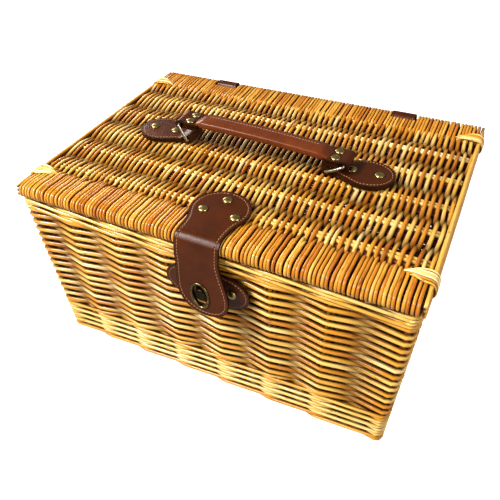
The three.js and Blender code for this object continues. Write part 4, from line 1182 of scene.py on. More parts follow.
@dataclass
class LidWeave(Part):
    """The lid's woven panel: bundles left to right, weavers front to back, edges and corner ties.

    Attributes:
        bundle_rows: Places of the bundles, front to back.
        bundle_rods: Place, half thickness and lift of the rods side by side in a bundle.
        bundle_rod: Half the thickness of its middle rods.
        bundle_height: Bundle axis above the lid's underside.
        rod: Half a weaver's thickness.
        under_swell: How much thicker a weaver is where it shows under the lid.
        pitch: Weaver to weaver.
        edge_row: Where the edge wraps come up, from the lid's middle.
        edge_rod: Half an edge wrap's thickness.
        edge_pitch: Edge wrap to edge wrap.
        edge_cores: Place and height of the rods that the edge wraps pass round.
        hinge_room: Half the room that the back wraps leave at a hinge.
        side_zone: Width of the side rods' edge.
        side_rod: Half a side rod's thickness.
        side_pitch: Side rod to side rod, upwards.
        tie_row: Middle of the corner ties, front and back.
        tie_reach: How far a tie comes in.
        dice: Its own random draws.
    """

    bundle_rows: tuple[float, ...] = (-98.0, -57.0, -16.0, 30.0, 74.0, 112.0)
    bundle_rods: tuple[tuple[float, float, float], ...] = (
        (-11.2, 1.0, 0.0), (-8.0, 1.5, 0.0), (-4.2, 2.1, 0.0), (0.0, 2.3, 1.5), (4.2, 2.3, 1.5),
        (8.0, 1.5, 0.0), (11.2, 1.0, 0.0),
    )
    bundle_rod: float = 2.1
    bundle_height: float = 8.6
    rod: float = 1.8
    under_swell: float = 1.65
    pitch: float = 3.1
    edge_row: float = 122.0
    edge_rod: float = 1.65
    edge_pitch: float = 3.5
    edge_cores: tuple[tuple[float, float], ...] = ((141.5, 190.0), (141.0, 194.5), (134.5, 192.0))
    hinge_room: float = 15.0
    side_zone: float = 5.4
    side_rod: float = 2.2
    side_pitch: float = 4.6
    tie_row: float = 116.0
    tie_reach: float = 28.0
    dice: random.Random = field(default_factory=lambda: random.Random(5))

    def middle(self) -> float:
        """Height of the bundles' axis."""
        return self.plan.lid_bottom + self.bundle_height

    def weaver(self, x: float, side: int) -> Strand:
        """One weaver over and under the bundles.

        Args:
            x: Its place, left to right.
            side: 1 where it passes over the front bundle, -1 where it passes under.

        Returns:
            The strand, its ends tucked under at the edges.
        """
        middle = self.middle()
        kept_lean, drift, snug = 0.55, 1.6, 0.97
        rod = self.rod * self.dice.uniform(0.9, 1.08)
        lift = self.bundle_rod + rod
        tuck = self.edge_row + 4.0
        points = []
        girths = [rod]
        lean = self.dice.uniform(-1.3, 1.3)
        up = side
        for row, y in enumerate(self.bundle_rows):
            up = side * (1 if row % 2 == 0 else -1)
            sway = drift * math.sin(x / 31.0 + row * 2.1)
            lean = kept_lean * lean + self.dice.uniform(-0.6, 0.6) + sway
            girths.append(rod * (1.0 if up > 0 else self.under_swell))
            drop = lift * snug if up > 0 else self.bundle_rod + girths[-1]
            points.append(Vector((x + lean, y, middle + up * drop)))
        front, back = (middle - 3.8 if way > 0 else middle + 0.5 for way in (side, up))
        points.insert(0, Vector((x, -tuck, front)))
        points.append(Vector((x, tuck + 3.0, back)))
        return Strand(points, rod, self.dice.uniform(0.44, 0.84), steps=6, girths=girths + [rod])

    def edge_wrap(self, x: float, end: int) -> Strand:
        """One rod that comes up from the weave and turns over the lid's front or back edge.

        Args:
            x: Its place, left to right.
            end: -1 at the front edge, 1 at the back.

        Returns:
            The strand, which stops short where a hinge comes through.
        """
        plan = self.plan
        rod = self.edge_rod * self.dice.uniform(0.92, 1.05)
        top = plan.lid_top - rod - 0.15
        low = plan.lid_bottom + rod + 0.1
        out = plan.lid_half_y - rod - 0.1
        lean = self.dice.uniform(-1.3, 1.3)
        back = self.dice.uniform(-8.0, 3.0)
        track = [
            (self.edge_row - 17.0 + back, self.middle() - 0.5),
            (self.edge_row - 9.0 + back / 2, top - 1.2),
            (self.edge_row + 4.0, top - 0.2),
        ]
        if end > 0 and min(abs(x - hinge) for hinge in plan.hinges) < self.hinge_room:
            lean = 0.0
            room = plan.lid_half_y - 14.6
            track += [(room - 3.0, top - 0.4), (room, top - 2.6), (room, plan.lid_bottom + 5.0)]
        else:
            track += [
                (out - 5.0, top),
                (out - 1.3, top - 1.6),
                (out, top - 4.4),
                (out, low + 3.6),
                (out - 1.6, low + 1.0),
                (out - (top - low) / 2 - 2.0, low),
                (self.edge_row + 2.0, low + 1.5),
            ]
        shares = [1 - i / len(track) for i in range(len(track))]
        points = [Vector((x + lean * share, end * y, z)) for share, (y, z) in zip(shares, track)]
        return Strand(points, rod, self.dice.uniform(0.42, 0.72), tip=0.55)

    def panel(self) -> list[Strand]:
        """All the weavers and the wraps at the front and back edges."""
        half = self.plan.lid_half_x - self.side_zone
        places = enumerate(evenly(2 * half, self.pitch))
        strands = [self.weaver(x, 1 if number % 2 else -1) for number, x in places]
        wraps = evenly(2 * (half - self.edge_rod), self.edge_pitch)
        return strands + [self.edge_wrap(x, end) for x in wraps for end in (-1, 1)]

    def sheltered(self, places: np.ndarray) -> list[tuple[np.ndarray, np.ndarray]]:
        """Depth of places under the lid's faces and edges, and the way those look, for the painted shade."""
        plan = self.plan
        faces = []
        for axis, low, high in (
            (2, plan.lid_bottom, plan.lid_top),
            (1, -plan.lid_half_y, plan.lid_half_y),
            (0, -plan.lid_half_x, plan.lid_half_x),
        ):
            out = np.zeros_like(places)
            out[:, axis] = 1.0
            faces += [(high - places[:, axis], out), (places[:, axis] - low, -out)]
        return faces

    def straight(self, y: float, z: float, half: float, radius: float, tone: float) -> Strand:
        """A rod left to right with a slight wave."""
        last = 8
        points = []
        for i in range(last + 1):
            wave = self.dice.uniform(-0.25, 0.25)
            dip = self.dice.uniform(-0.15, 0.15)
            points.append(Vector((-half + 2 * half * i / last, y + wave, z + dip)))
        return Strand(points, radius, tone, steps=2, tip=0.8)

    def bundle(self, y: float) -> list[Strand]:
        """The rods of one bundle: those that lie low in it are in shade."""
        half = self.plan.lid_half_x - self.side_zone - 0.3
        rods = []
        for place, rod, lift in self.bundle_rods:
            tone = self.dice.uniform(0.34, 0.6) - (0.7 if lift == 0.0 else 0.0)
            rods.append(self.straight(y + place, self.middle() + lift, half, rod, tone))
        return rods

    def side_rods(self, side: int) -> list[Strand]:
        """The rods stacked at the lid's left or right edge."""
        half = self.plan.lid_half_y - 3
        rods = []
        for level in range(3):
            z = self.plan.lid_bottom + self.side_rod + 0.5 + level * self.side_pitch
            out = self.plan.lid_half_x - self.side_rod - 0.3 * level
            points = [
                Vector((side * (out + self.dice.uniform(-0.3, 0.2)), -half + i * half / 3, z))
                for i in range(7)
            ]
            rods.append(Strand(points, self.side_rod, self.dice.uniform(0.45, 0.65), tip=0.7))
        return rods

    def corner_tie(self, side: int, end: int) -> list[Strand]:
        """Peeled rods that wrap the side rods and fan in over the weave.

        Args:
            side: -1 at the left edge, 1 at the right.
            end: -1 at the front, 1 at the back.

        Returns:
            The rods of the tie.
        """
        low = self.plan.lid_bottom
        outer = self.plan.lid_half_x - 0.2
        rods = []
        for number in range(6):
            spread = (number - 2.5) / 2.5 + self.dice.uniform(-0.06, 0.06)
            inner = self.plan.lid_half_x - self.tie_reach + 5.0 * abs(spread)
            y_out = end * self.tie_row + spread * 7.0
            y_in = end * self.tie_row + spread * 2.6 - end * 1.5
            top = self.plan.lid_top + 0.35 - 0.5 * abs(spread)
            track = [
                (inner, y_in, top - 3.2),
                (inner + 5.0, y_in + (y_out - y_in) * 0.3, top - 0.4),
                (outer - 9.0, y_out, top + 0.2),
                (outer - 2.2, y_out, top - 0.9),
                (outer + 0.4, y_out, top - 5.0),
                (outer + 0.4, y_out, low + 4.5),
                (outer - 2.4, y_out, low + 1.3),
                (outer - 9.0, y_out, low + 1.1),
                (inner + 4.0, y_in, low + 1.4),
            ]
            points = [Vector((side * x, y, z)) for x, y, z in track]
            rods.append(Strand(points, 1.15, self.dice.uniform(0.2, 0.75), tip=0.6))
        return rods

    def build(self) -> None:
        """Weaves the lid and ties each piece to it."""
        finishes, shelter = self.finishes, self.sheltered
        half = self.plan.lid_half_x - self.side_zone
        panel = self.panel()
        self.lay("lid_plain_weave", panel, finishes.willow, Slot.WILLOW, "lid", "lid_weave", shelter=shelter)
        for number, y in enumerate(self.bundle_rows, 1):
            rods = self.bundle(y)
            self.lay(f"lid_bundle_{number}", rods, finishes.pale, Slot.PALE, "lid", f"lid_rods_{number}")
        cores = [
            self.straight(end * y, z, half, radius=2.1, tone=0.4)
            for end in (-1, 1)
            for y, z in self.edge_cores
        ]
        self.lay("lid_edge_cores", cores, finishes.dark, Slot.DARK, "lid", shelter=shelter)
        for name, side in SIDES:
            rods = self.side_rods(side)
            self.lay("side_rods_" + name, rods, finishes.golden, Slot.GOLDEN, "lid", "lid_side_rods_" + name,
                     shelter=shelter)
            for row, end in ENDS:
                tie = self.corner_tie(side, end)
                self.lay(f"tie_{row}_{name}", tie, finishes.pale, Slot.PALE, "lid",
                         f"corner_tie_{row}_{name}", shelter=shelter)


# Leather


@dataclass
class FlatCut:
    """Outline of a flat-cut piece of leather.

    Attributes:
        start: Place of its first row.
        end: Place of its last row.
        half_width: Half its width at each place.
        middle: Sideways place of its middle at each place.
    """

    start: float
    end: float
    half_width: Callable[[float], float]
    middle: Callable[[float], float] = lambda _: 0.0

    def outline(self) -> np.ndarray:
        """Lists points round the cut, as (along, across)."""
        share = np.linspace(0, 1, 240)
        along = self.start + (self.end - self.start) * (0.5 - 0.5 * np.cos(share * math.pi))
        half = np.array([self.half_width(s) for s in along])
        shift = np.array([self.middle(s) for s in along])
        one = np.stack([along, shift + half], axis=1)
        other = np.stack([along, shift - half], axis=1)[::-1]
        return np.concatenate([one, other])

    def inside(self, inset: float) -> list[tuple[float, float]]:
        """Lists a line that runs a set distance inside the cut edge, all the way round."""
        edge = self.outline()
        ahead = np.roll(edge, -1, axis=0) - np.roll(edge, 1, axis=0)
        length = np.maximum(np.linalg.norm(ahead, axis=1, keepdims=True), 1e-6)
        normal = np.stack([ahead[:, 1], -ahead[:, 0]], axis=1) / length
        middle = edge.mean(axis=0)
        if ((edge + normal - middle) ** 2).sum() > ((edge - middle) ** 2).sum():
            normal = -normal
        line = edge + normal * inset
        least = inset * 0.93
        return [tuple(spot) for spot, gap in zip(line, nearest(line, edge)) if gap > least]


Bend = Callable[[float, float, float], Vector]


@dataclass
class LeatherPiece:
    """A flat-cut piece with a thickness, bent to its place.

    Attributes:
        name: The piece's name.
        cut: Its outline.
        bend: Gives a place from (along, across, height above its inner face), in millimetres.
        thickness: Its thickness.
        rows: Faces along it.
        columns: Faces across it.
        spacing: How its rows are spread.
        hole: Oval hole as (along, across, half along, half across, lean), or None.
    """

    name: str
    cut: FlatCut
    bend: Bend
    thickness: float
    rows: int
    columns: int
    spacing: Spacing = Spacing.CLOSE_AT_BOTH
    hole: tuple[float, float, float, float, float] | None = None

    def punch(self, bm: bmesh.types.BMesh, flat: dict[bmesh.types.BMVert, tuple[float, float]]) -> None:
        """Cuts the oval hole and pulls the faces' edges round it to its outline.

        Args:
            bm: The flat sheet, already bent.
            flat: The flat place of each of its points.
        """
        along, across, half_along, half_across, lean = self.hole
        turn = Matrix.Rotation(lean, 2)

        def share(place: Sequence[float]) -> Vector:
            """Place in the oval, where its outline has length 1."""
            spot = turn @ Vector((place[0] - along, place[1] - across))
            return Vector((spot.x / half_along, spot.y / half_across))

        inner = [
            face for face in bm.faces
            if sum((share(flat[v]) for v in face.verts), Vector((0, 0))).length / len(face.verts) < 1.0
        ]
        rim = {vertex for face in inner for vertex in face.verts}
        bmesh.ops.delete(bm, geom=inner, context="FACES")
        for vertex in rim:
            if vertex.is_valid:
                spot = share(flat[vertex]).normalized()
                spot = turn.inverted() @ Vector((spot.x * half_along, spot.y * half_across))
                vertex.co = self.bend(along + spot.x, across + spot.y, 0.0)

    def shape(self) -> bpy.types.Object:
        """Cuts, bends and thickens the piece.

        Returns:
            The finished mesh object, in metres.
        """
        bm = bmesh.new()
        layer = bm.verts.layers.float.new("rim")
        grid = bmesh.ops.create_grid(bm, x_segments=self.rows, y_segments=self.columns, size=0.5)
        cut = self.cut
        flat = []
        for vertex in grid["verts"]:
            share = vertex.co.x + 0.5
            if self.spacing is Spacing.CLOSE_AT_BOTH:
                share = 0.5 - 0.5 * math.cos(math.pi * share)
            along = cut.start + (cut.end - cut.start) * share
            flat.append((along, cut.middle(along) + vertex.co.y * 2 * cut.half_width(along)))
        for vertex, spot, rim in zip(grid["verts"], flat, nearest(np.array(flat), cut.outline())):
            vertex[layer] = rim
            vertex.co = self.bend(*spot, 0.0)
        if self.hole:
            self.punch(bm, dict(zip(grid["verts"], flat)))
        bm.normal_update()
        half_way = (cut.start + cut.end) / 2
        spot, above = (self.bend(half_way, cut.middle(half_way), height) for height in (0.0, 1.0))
        near = min(bm.faces, key=lambda face: (face.calc_center_median() - spot).length)
        if near.normal.dot(above - spot) < 0:
            bmesh.ops.reverse_faces(bm, faces=bm.faces[:])
        piece = link_mesh(self.name, bm)
        thicken = piece.modifiers.new("thickness", "SOLIDIFY")
        thicken.thickness = self.thickness
        thicken.offset = 1.0
        thicken.use_even_offset = True
        thicken.material_offset_rim = 1
        burnish = piece.modifiers.new("edge", "BEVEL")
        burnish.width = 0.5
        burnish.segments = 3
        burnish.limit_method = "ANGLE"
        burnish.angle_limit = math.radians(50)
        level = piece.modifiers.new("level", "WEIGHTED_NORMAL")
        level.keep_sharp = True
        for _ in ("face", "edge"):
            piece.data.materials.append(None)
        piece.data.shade_smooth()
        refine(piece)
        piece.data.transform(Matrix.Scale(MM, 4))
        return piece

    def stitches(self, line: Sequence[tuple[float, float]]) -> list[Strand]:
        """Sews a seam on the outer face, along flat places."""
        places = [self.bend(*spot, self.thickness) for spot in line]
        outs = [self.bend(*spot, self.thickness + 1) - place for spot, place in zip(line, places)]
        return sew(places, outs)


def sew(places: Sequence[Vector], outs: Sequence[Vector]) -> list[Strand]:
    """Lays stitches along a line on a surface.

    Args:
        places: Places along the seam.
        outs: Directions out of the surface there.

    Returns:
        The stitches.
    """
    pitch, lead, shown, gauge, sunk, proud = 3.2, 0.3, 0.72, 0.3, -0.3, 0.22
    run = run_along(places)

    def at(distance: float, lift: float) -> Vector:
        """Place a lift above the surface, at a distance along the seam."""
        index, share = find_place(run, distance)
        out = outs[index - 1].lerp(outs[index], share).normalized()
        return places[index - 1].lerp(places[index], share) + out * lift

    made = []
    for number in range(int(run[-1] / pitch)):
        start = number * pitch + lead
        length = pitch * shown
        points = [at(start, sunk), at(start + length / 2, proud), at(start + length, sunk)]
        made.append(Strand(points, gauge))
    return made


def fold(
    along: float, height: float, bore: float, levels: Callable[[float], tuple[float, float]]
) -> tuple[float, float]:
    """Folds a strip of leather round a bar.

    Args:
        along: Place on the strip from the bar, negative on its upper layer, positive on its lower one.
        height: Height above its inner face.
        bore: Radius of that face round the bar.
        levels: Distance of the upper and lower layer's inner faces from the bar's middle, at a
            distance from the bar.

    Returns:
        Distance past the bar, negative where the layers run, and height above its middle.
    """
    half_turn = math.pi * bore / 2
    if abs(along) <= half_turn:
        return (bore + height) * math.cos(along / bore), -(bore + height) * math.sin(along / bore)
    away = abs(along) - half_turn
    upper, lower = levels(away)
    return -away, upper + height if along < 0 else -lower - height


@dataclass
class ClaspStrap(Part):
    """The strap from the lid's middle over the front edge, with its tongue, sewn edge and eyelet.

    Attributes:
        middle_x: Middle of the strap on the lid.
        leather: Its thickness.
        lift: Its inner face above the lid.
        width: Width of the neck.
        head_radius: Radius of the round head.
        head_from_edge: Middle of the head behind the lid's front edge.
        waist_start: Where the head starts to draw in, from its middle.
        waist_run: Length over which it draws in to the neck.
        bend_radius: Radius of its inner face over the edge.
        bend_forward: How far the bend's centre is in front of the edge's centre.
        tongue: Length of the tongue below the bend.
        tongue_half: Half the tongue's width near its end.
        lean: Sideways drift of the tongue, per length.
        lean_start: Where the drift starts.
        hang: Angle of the tongue out from upright.
        eyelet: Place across and below the bend of the eyelet's middle, and its lean.
        eyelet_hole: Half the length and half the width of the hole that it is set in.
        rivet_spots: Places of the head's rivets.
    """

    middle_x: float = 8.0
    leather: float = 2.4
    lift: float = 0.3
    width: float = 43.2
    head_radius: float = 28.5
    head_from_edge: float = 43.0
    waist_start: float = 12.0
    waist_run: float = 22.0
    bend_radius: float = 8.3
    bend_forward: float = 1.2
    tongue: float = 68.0
    tongue_half: float = 25.2
    lean: float = 0.2
    lean_start: float = 12.0
    hang: float = math.radians(6.43)
    eyelet: tuple[float, float, float] = (12.5, 48.5, math.radians(15))
    eyelet_hole: tuple[float, float] = (12.2, 8.2)
    rivet_spots: tuple[tuple[float, float], ...] = ((-6.2, -112.6), (8.2, -92.0), (26.3, -113.6))

    def bend_centre(self) -> tuple[float, float]:
        """Centre of the bend over the lid's edge, as (y, z)."""
        edge_radius = (self.plan.lid_top - self.plan.lid_bottom) / 2
        y = -self.plan.lid_half_y + edge_radius - self.bend_forward
        return y, self.plan.lid_top + self.lift - self.bend_radius

    def flat_run(self) -> float:
        """Length on the lid, from the back of the head to the bend."""
        head_middle = -self.plan.lid_half_y + self.head_from_edge
        return head_middle + self.head_radius - self.bend_centre()[0]

    def arc_run(self) -> float:
        """Length of the bend's inner face."""
        return (math.pi / 2 - self.hang) * self.bend_radius

    def place(self, along: float, across: float, height: float) -> Vector:
        """Bends a flat place over the lid's edge and down in front of the wall."""
        y0, z0 = self.bend_centre()
        run, arc = self.flat_run(), self.arc_run()
        if along <= run:
            return Vector((across, y0 + run - along, z0 + self.bend_radius + height))
        angle = math.pi / 2 - min(along - run, arc) / self.bend_radius
        reach = self.bend_radius + height
        spot = Vector((across, y0 - reach * math.cos(angle), z0 + reach * math.sin(angle)))
        rest = max(0.0, along - run - arc)
        return spot + Vector((0, -math.sin(self.hang), -math.cos(self.hang))) * rest

    def half_width(self, along: float) -> float:
        """Half the strap's width at a place along it."""
        past_head = along - self.head_radius
        neck = self.width / 2
        if past_head < self.waist_start:
            return max(NARROWEST, math.sqrt(max(0.0, self.head_radius**2 - past_head**2)))
        down = along - self.flat_run() - self.arc_run()
        if down < 0:
            share = min(1.0, (past_head - self.waist_start) / self.waist_run)
            join = math.sqrt(self.head_radius**2 - self.waist_start**2)
            fall = self.waist_start / join * self.waist_run
            return join + (neck - join) * smooth_step(share, 0.0, 1.0) - fall * share * (1 - share) ** 2
        swell = neck + (self.tongue_half - neck) * smooth_step(down, 14.0, 46.0)
        start = self.tongue * 0.6
        share = min(1.0, max(0.0, (down - start) / (self.tongue - start)))
        return max(NARROWEST, swell * round_off(share, 3))

    def middle(self, along: float) -> float:
        """Sideways place of the strap's middle."""
        down = along - self.flat_run() - self.arc_run()
        return self.middle_x + self.lean * max(0.0, down - self.lean_start)

    def build(self) -> None:
        """Cuts the strap, bends it, sews its edge and sets its rivets."""
        bend_end = self.flat_run() + self.arc_run()
        cut = FlatCut(0.0, bend_end + self.tongue, self.half_width, self.middle)
        across, below, lean = self.eyelet
        hole = (bend_end + below, across, *self.eyelet_hole, lean)
        strap = LeatherPiece(
            "clasp_leather", cut, self.place, self.leather, rows=110, columns=32, hole=hole
        )
        piece = strap.shape()
        seam = self.thread("clasp_stitching", strap.stitches(cut.inside(3.2)), None)
        self.skin(piece, None, "clasp_strap", "clasp_tongue")
        for part in (piece, seam):
            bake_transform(part)
        top = self.plan.lid_top + self.lift + self.leather
        for number, (x, y) in enumerate(self.rivet_spots, 1):
            place = Matrix.Translation((x, y, top))
            self.rivet(f"strap_stud_{number}", place, "lid", f"strap_rivet_{number}")


# Turned and pressed metal


def turn_oval(
    name: str, profile: Sequence[tuple[float, float]], halves: tuple[float, float], place: Matrix,
    corners: int = 28, open_middle: bool = False
) -> bpy.types.Object:
    """Makes an oval piece from a profile of insets and heights.

    Args:
        name: The piece's name.
        profile: Steps of (inset from the outer edge, height), from the bottom rim round.
        halves: Half its width and half its height.
        place: Where it goes, from its own frame with +Z out.
        corners: Corners of each ring.
        open_middle: Whether the last ring joins the first, as on an eyelet.

    Returns:
        The finished mesh object, in metres.
    """
    bm = bmesh.new()
    turns = [2 * math.pi * i / corners for i in range(corners)]
    rings = []
    for inset, height in profile:
        ring = bmesh.ops.create_circle(bm, segments=corners, radius=1.0)["verts"]
        for vertex, angle in zip(ring, turns):
            across, along = (half - inset for half in halves)
            vertex.co = Vector((across * math.cos(angle), along * math.sin(angle), height))
        rings.append(ring)
    loops = [
        [edge for edge in bm.edges if edge.verts[0] in set(ring) and edge.verts[1] in set(ring)]
        for ring in rings
    ]
    for low, high in zip(loops, loops[1:] + loops[:1] if open_middle else loops[1:]):
        bmesh.ops.bridge_loops(bm, edges=low + high)
    if not open_middle:
        for ring in (rings[0], rings[-1]):
            bmesh.ops.contextual_create(bm, geom=ring)
    bmesh.ops.recalc_face_normals(bm, faces=bm.faces[:])
    bm.transform(Matrix.Scale(MM, 4) @ place)
    piece = link_mesh(name, bm)
    piece.data.shade_smooth()
    piece.data.set_sharp_from_angle(angle=math.radians(48))
    return piece


@dataclass
class TurnLock(Part):
    """The clasp's patch, plate, eyelet and turning knob.

    Attributes:
        strap: The strap that carries the eyelet.
        x: The lock's place along the front wall.
        z: Its height.
        lean: How far the ovals lean to the left.
        patch_length: Length of the leather patch.
        patch_height: Height of the patch.
        patch_leather: Thickness of the patch.
        patch_lift: Its inner face in front of the wall.
        rivet_half: Middle of the patch to each rivet.
        knob_under: Underside of the knob in front of the wall.
        knob_half: Half the knob's width and height.
        eyelet_half: Half the eyelet's width and height.
    """

    strap: ClaspStrap
    x: float = 12.5
    z: float = 145.0
    lean: float = math.radians(15)
    patch_length: float = 84.0
    patch_height: float = 43.0
    patch_leather: float = 2.0
    patch_lift: float = 0.3
    rivet_half: float = 25.0
    knob_under: float = 9.0
    knob_half: tuple[float, float] = (6.5, 10.5)
    eyelet_half: tuple[float, float] = (9.5, 13.5)

    def wall_frame(self) -> Matrix:
        """Frame on the wall's outer face: local -Y points out."""
        spot = Matrix.Translation((self.x, -self.plan.half_y(self.z), self.z))
        return spot @ Matrix.Rotation(self.plan.wall_tilt(), 4, "X")

    def build(self) -> None:
        """Builds the patch, its rivets, the eyelet and the knob."""
        wall = self.wall_frame()
        half = self.patch_length / 2
        tall = self.patch_height / 2
        cut = FlatCut(-half, half, lambda s: max(NARROWEST, tall * round_off(abs(s / half), 3)))

        def on_wall(along: float, across: float, height: float) -> Vector:
            """Lays the patch on the wall."""
            return wall @ Vector((along, -self.patch_lift - height, across))

        patch = LeatherPiece(
            "lock_patch_leather", cut, on_wall, self.patch_leather, rows=50, columns=20
        )
        self.skin(patch.shape(), "basket", "clasp_patch")
        self.thread("lock_patch_stitching", patch.stitches(cut.inside(SEAM_INSET)), "basket")
        face = self.patch_lift + self.patch_leather
        for name, side in SIDES:
            spot = wall @ Matrix.Translation((side * self.rivet_half, -face, 0))
            spot = spot @ Matrix.Rotation(math.pi / 2, 4, "X")
            self.rivet("patch_stud_" + name, spot, "basket", "patch_rivet_" + name)
        self.build_knob()
        self.build_eyelet()
        for node, material in (("lock_base", self.finishes.jet), ("lock_washer", self.finishes.steel)):
            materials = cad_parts[node].data.materials
            materials.clear()
            materials.append(material)

    def build_knob(self) -> None:
        """Builds the oval knob with its raised bead and boss, on its stem."""
        place = self.wall_frame() @ Matrix.Translation((0, -self.knob_under, 0))
        place = place @ Matrix.Rotation(math.pi / 2, 4, "X") @ Matrix.Rotation(self.lean, 4, "Z")
        head = [(1.2, 0.0), (0.2, 0.05), (0.0, 0.3), (0.1, 1.0), (0.5, 1.4), (1.2, 1.55), (1.8, 1.5),
                (2.3, 1.3), (3.4, 1.25), (5.4, 1.3)]
        boss = [(0.0, 1.2), (0.0, 4.2), (0.4, 4.9), (1.1, 5.1), (1.9, 4.6), (4.0, 4.5)]
        stem = [(0.0, -self.knob_under + 3.0), (0.0, 0.2)]
        for name, profile, halves, corners, nodes in (
            ("turn_knob_head", head, self.knob_half, 40, ["turn_knob"]),
            ("turn_knob_boss", boss, (6.3, 6.7), 32, []),
            ("turn_knob_stem", stem, (2.0, 2.0), 16, []),
        ):
            piece = turn_oval(name, profile, halves, place, corners)
            dress(piece, [self.finishes.jet], "turn_knob", nodes)

    def build_eyelet(self) -> None:
        """Builds the oval eyelet that is pressed into the tongue, its inner wall in blackened brass as
        painted shade in the hole.
        """
        strap = self.strap
        lean_in, upright = math.sin(strap.hang), math.cos(strap.hang)
        y0, z0 = strap.bend_centre()
        outer = strap.bend_radius + strap.leather
        drop = (z0 + outer * lean_in - self.z) / upright
        y = y0 - outer * upright - drop * lean_in + strap.leather / 2 * upright
        spot = Matrix.Translation((self.x, y, self.z - strap.leather / 2 * lean_in))
        spot = spot @ Matrix.Rotation(-strap.hang, 4, "X") @ Matrix.Rotation(math.pi / 2, 4, "X")
        spot = spot @ Matrix.Rotation(self.lean, 4, "Z")
        face = strap.leather / 2 + 0.3
        profile = [
            (0.5, -face - 0.1), (0.05, -face), (0.05, -face + 0.1), (1.5, -face + 0.2), (1.5, face - 0.1),
            (0.05, face), (0.0, face + 0.25), (0.35, face + 0.75), (1.0, face + 1.05), (1.7, face + 0.95),
            (2.2, face + 0.5), (2.4, face - 0.2), (2.4, -face), (2.0, -face - 0.15),
        ]
        ring = turn_oval(
            "clasp_eyelet_ring", profile, self.eyelet_half, spot, corners=44, open_middle=True
        )
        # Painted shade: the faces of the inner wall, which look into the hole, take the blackened brass.
        axis = spot.to_3x3() @ UP
        for side in ring.data.polygons:
            out = side.center - spot.translation * MM
            out = (out - axis * out.dot(axis)).normalized()
            side.material_index = 1 if side.normal.dot(out) < -0.85 else 0
        dress(ring, [self.finishes.bronze, self.finishes.jet], "clasp_tongue", ["clasp_eyelet"])


@dataclass
class Hinges(Part):
    """The two leather hinges, threaded through the lid and riveted to the back wall.

    Attributes:
        width: Width of the strap.
        leather: Its thickness.
        reach: How far it comes in over the lid.
        leaf: How far it goes down the back wall.
        leaf_lift: Its inner face behind the wall.
        rivet_up: Rivet above the leaf's lower end.
        fine: Steps of its smooth line from one corner of its track to the next.
    """

    width: float = 26.0
    leather: float = 2.2
    reach: float = 12.5
    leaf: float = 44.0
    leaf_lift: float = 0.35
    rivet_up: float = 9.0
    fine: int = 8

    def track(self) -> list[Vector]:
        """Inner face of the strap, as (y, z) from inside the lid to the leaf's end."""
        plan = self.plan
        back = plan.lid_half_y - 1.9
        top = plan.lid_top - 1.6
        low = plan.height - self.leaf
        inner = plan.lid_half_y - self.reach
        corners = (
            (inner + 1.0, plan.lid_bottom + 6.0),
            (inner + 1.0, top - 3.0),
            (inner + 2.6, top - 0.5),
            (inner + 5.0, top),
            (back - 4.6, top),
            (back - 1.2, top - 1.4),
            (back, top - 5.0),
            (back, plan.lid_bottom + 1.5),
            (plan.half_y(180.0) + 0.5, 180.0),
            (plan.half_y(170.0) + self.leaf_lift, 170.0),
            (plan.half_y(low) + self.leaf_lift, low),
        )
        return [Vector(corner) for corner in corners]

    def path(self) -> list[Vector]:
        """Smooth line of the inner face in fine steps."""
        corners = self.track()
        line: list[Vector] = []
        for i, (here, there) in enumerate(zip(corners, corners[1:])):
            length = (there - here).length
            pull_here = (there - corners[max(0, i - 1)]).normalized() * length
            pull_there = (corners[min(len(corners) - 1, i + 2)] - here).normalized() * length
            for step in range(self.fine):
                t = step / self.fine
                a, b = 2 * t**3 - 3 * t**2 + 1, t**3 - 2 * t**2 + t
                c, d = -2 * t**3 + 3 * t**2, t**3 - t**2
                line.append(here * a + pull_here * b + there * c + pull_there * d)
        return line + corners[-1:]

    def build(self) -> None:
        """Builds both hinges and their rivets."""
        for (name, _), middle in zip(SIDES, self.plan.hinges):
            self.build_one(name, middle)

    def build_one(self, name: str, middle: float) -> None:
        """Builds a hinge, bent over the joint, and its rivet."""
        line = self.path()
        run = run_along(line)
        length = run[-1]

        def on_back(along: float, across: float, height: float) -> Vector:
            """Bends the strap along its track."""
            index, share = find_place(run, along)
            spot = line[index - 1].lerp(line[index], share)
            way = (line[min(len(line) - 1, index + 1)] - line[max(0, index - 2)]).normalized()
            return Vector((middle + across, spot.x - way.y * height, spot.y + way.x * height))

        cut = FlatCut(0.0, length, lambda s: self.width / 2 - 2.5 * smooth_step(s, length - 5, length))
        strap = LeatherPiece(
            "hinge_strap_" + name, cut, on_back, self.leather, rows=64, columns=8, spacing=Spacing.EVEN
        )
        piece = self.skin(strap.shape(), None, "hinge_tab_" + name, "hinge_leaf_" + name)
        stitches = []
        for side in (-1, 1):
            across = side * (self.width / 2 - SEAM_INSET)
            stitches += strap.stitches([(along, across) for along in np.linspace(12, length - 4, 90)])
        seam = self.thread("hinge_stitching_" + name, stitches, None)
        for part in (piece, seam):
            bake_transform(part)
        z = self.plan.height - self.leaf + self.rivet_up
        spot = Matrix.Translation((middle, self.plan.half_y(z) + self.leaf_lift + self.leather, z))
        spot = spot @ Matrix.Rotation(-math.pi / 2 - self.plan.wall_tilt(), 4, "X")
        self.rivet("hinge_stud_" + name, spot, "basket", "hinge_rivet_" + name)


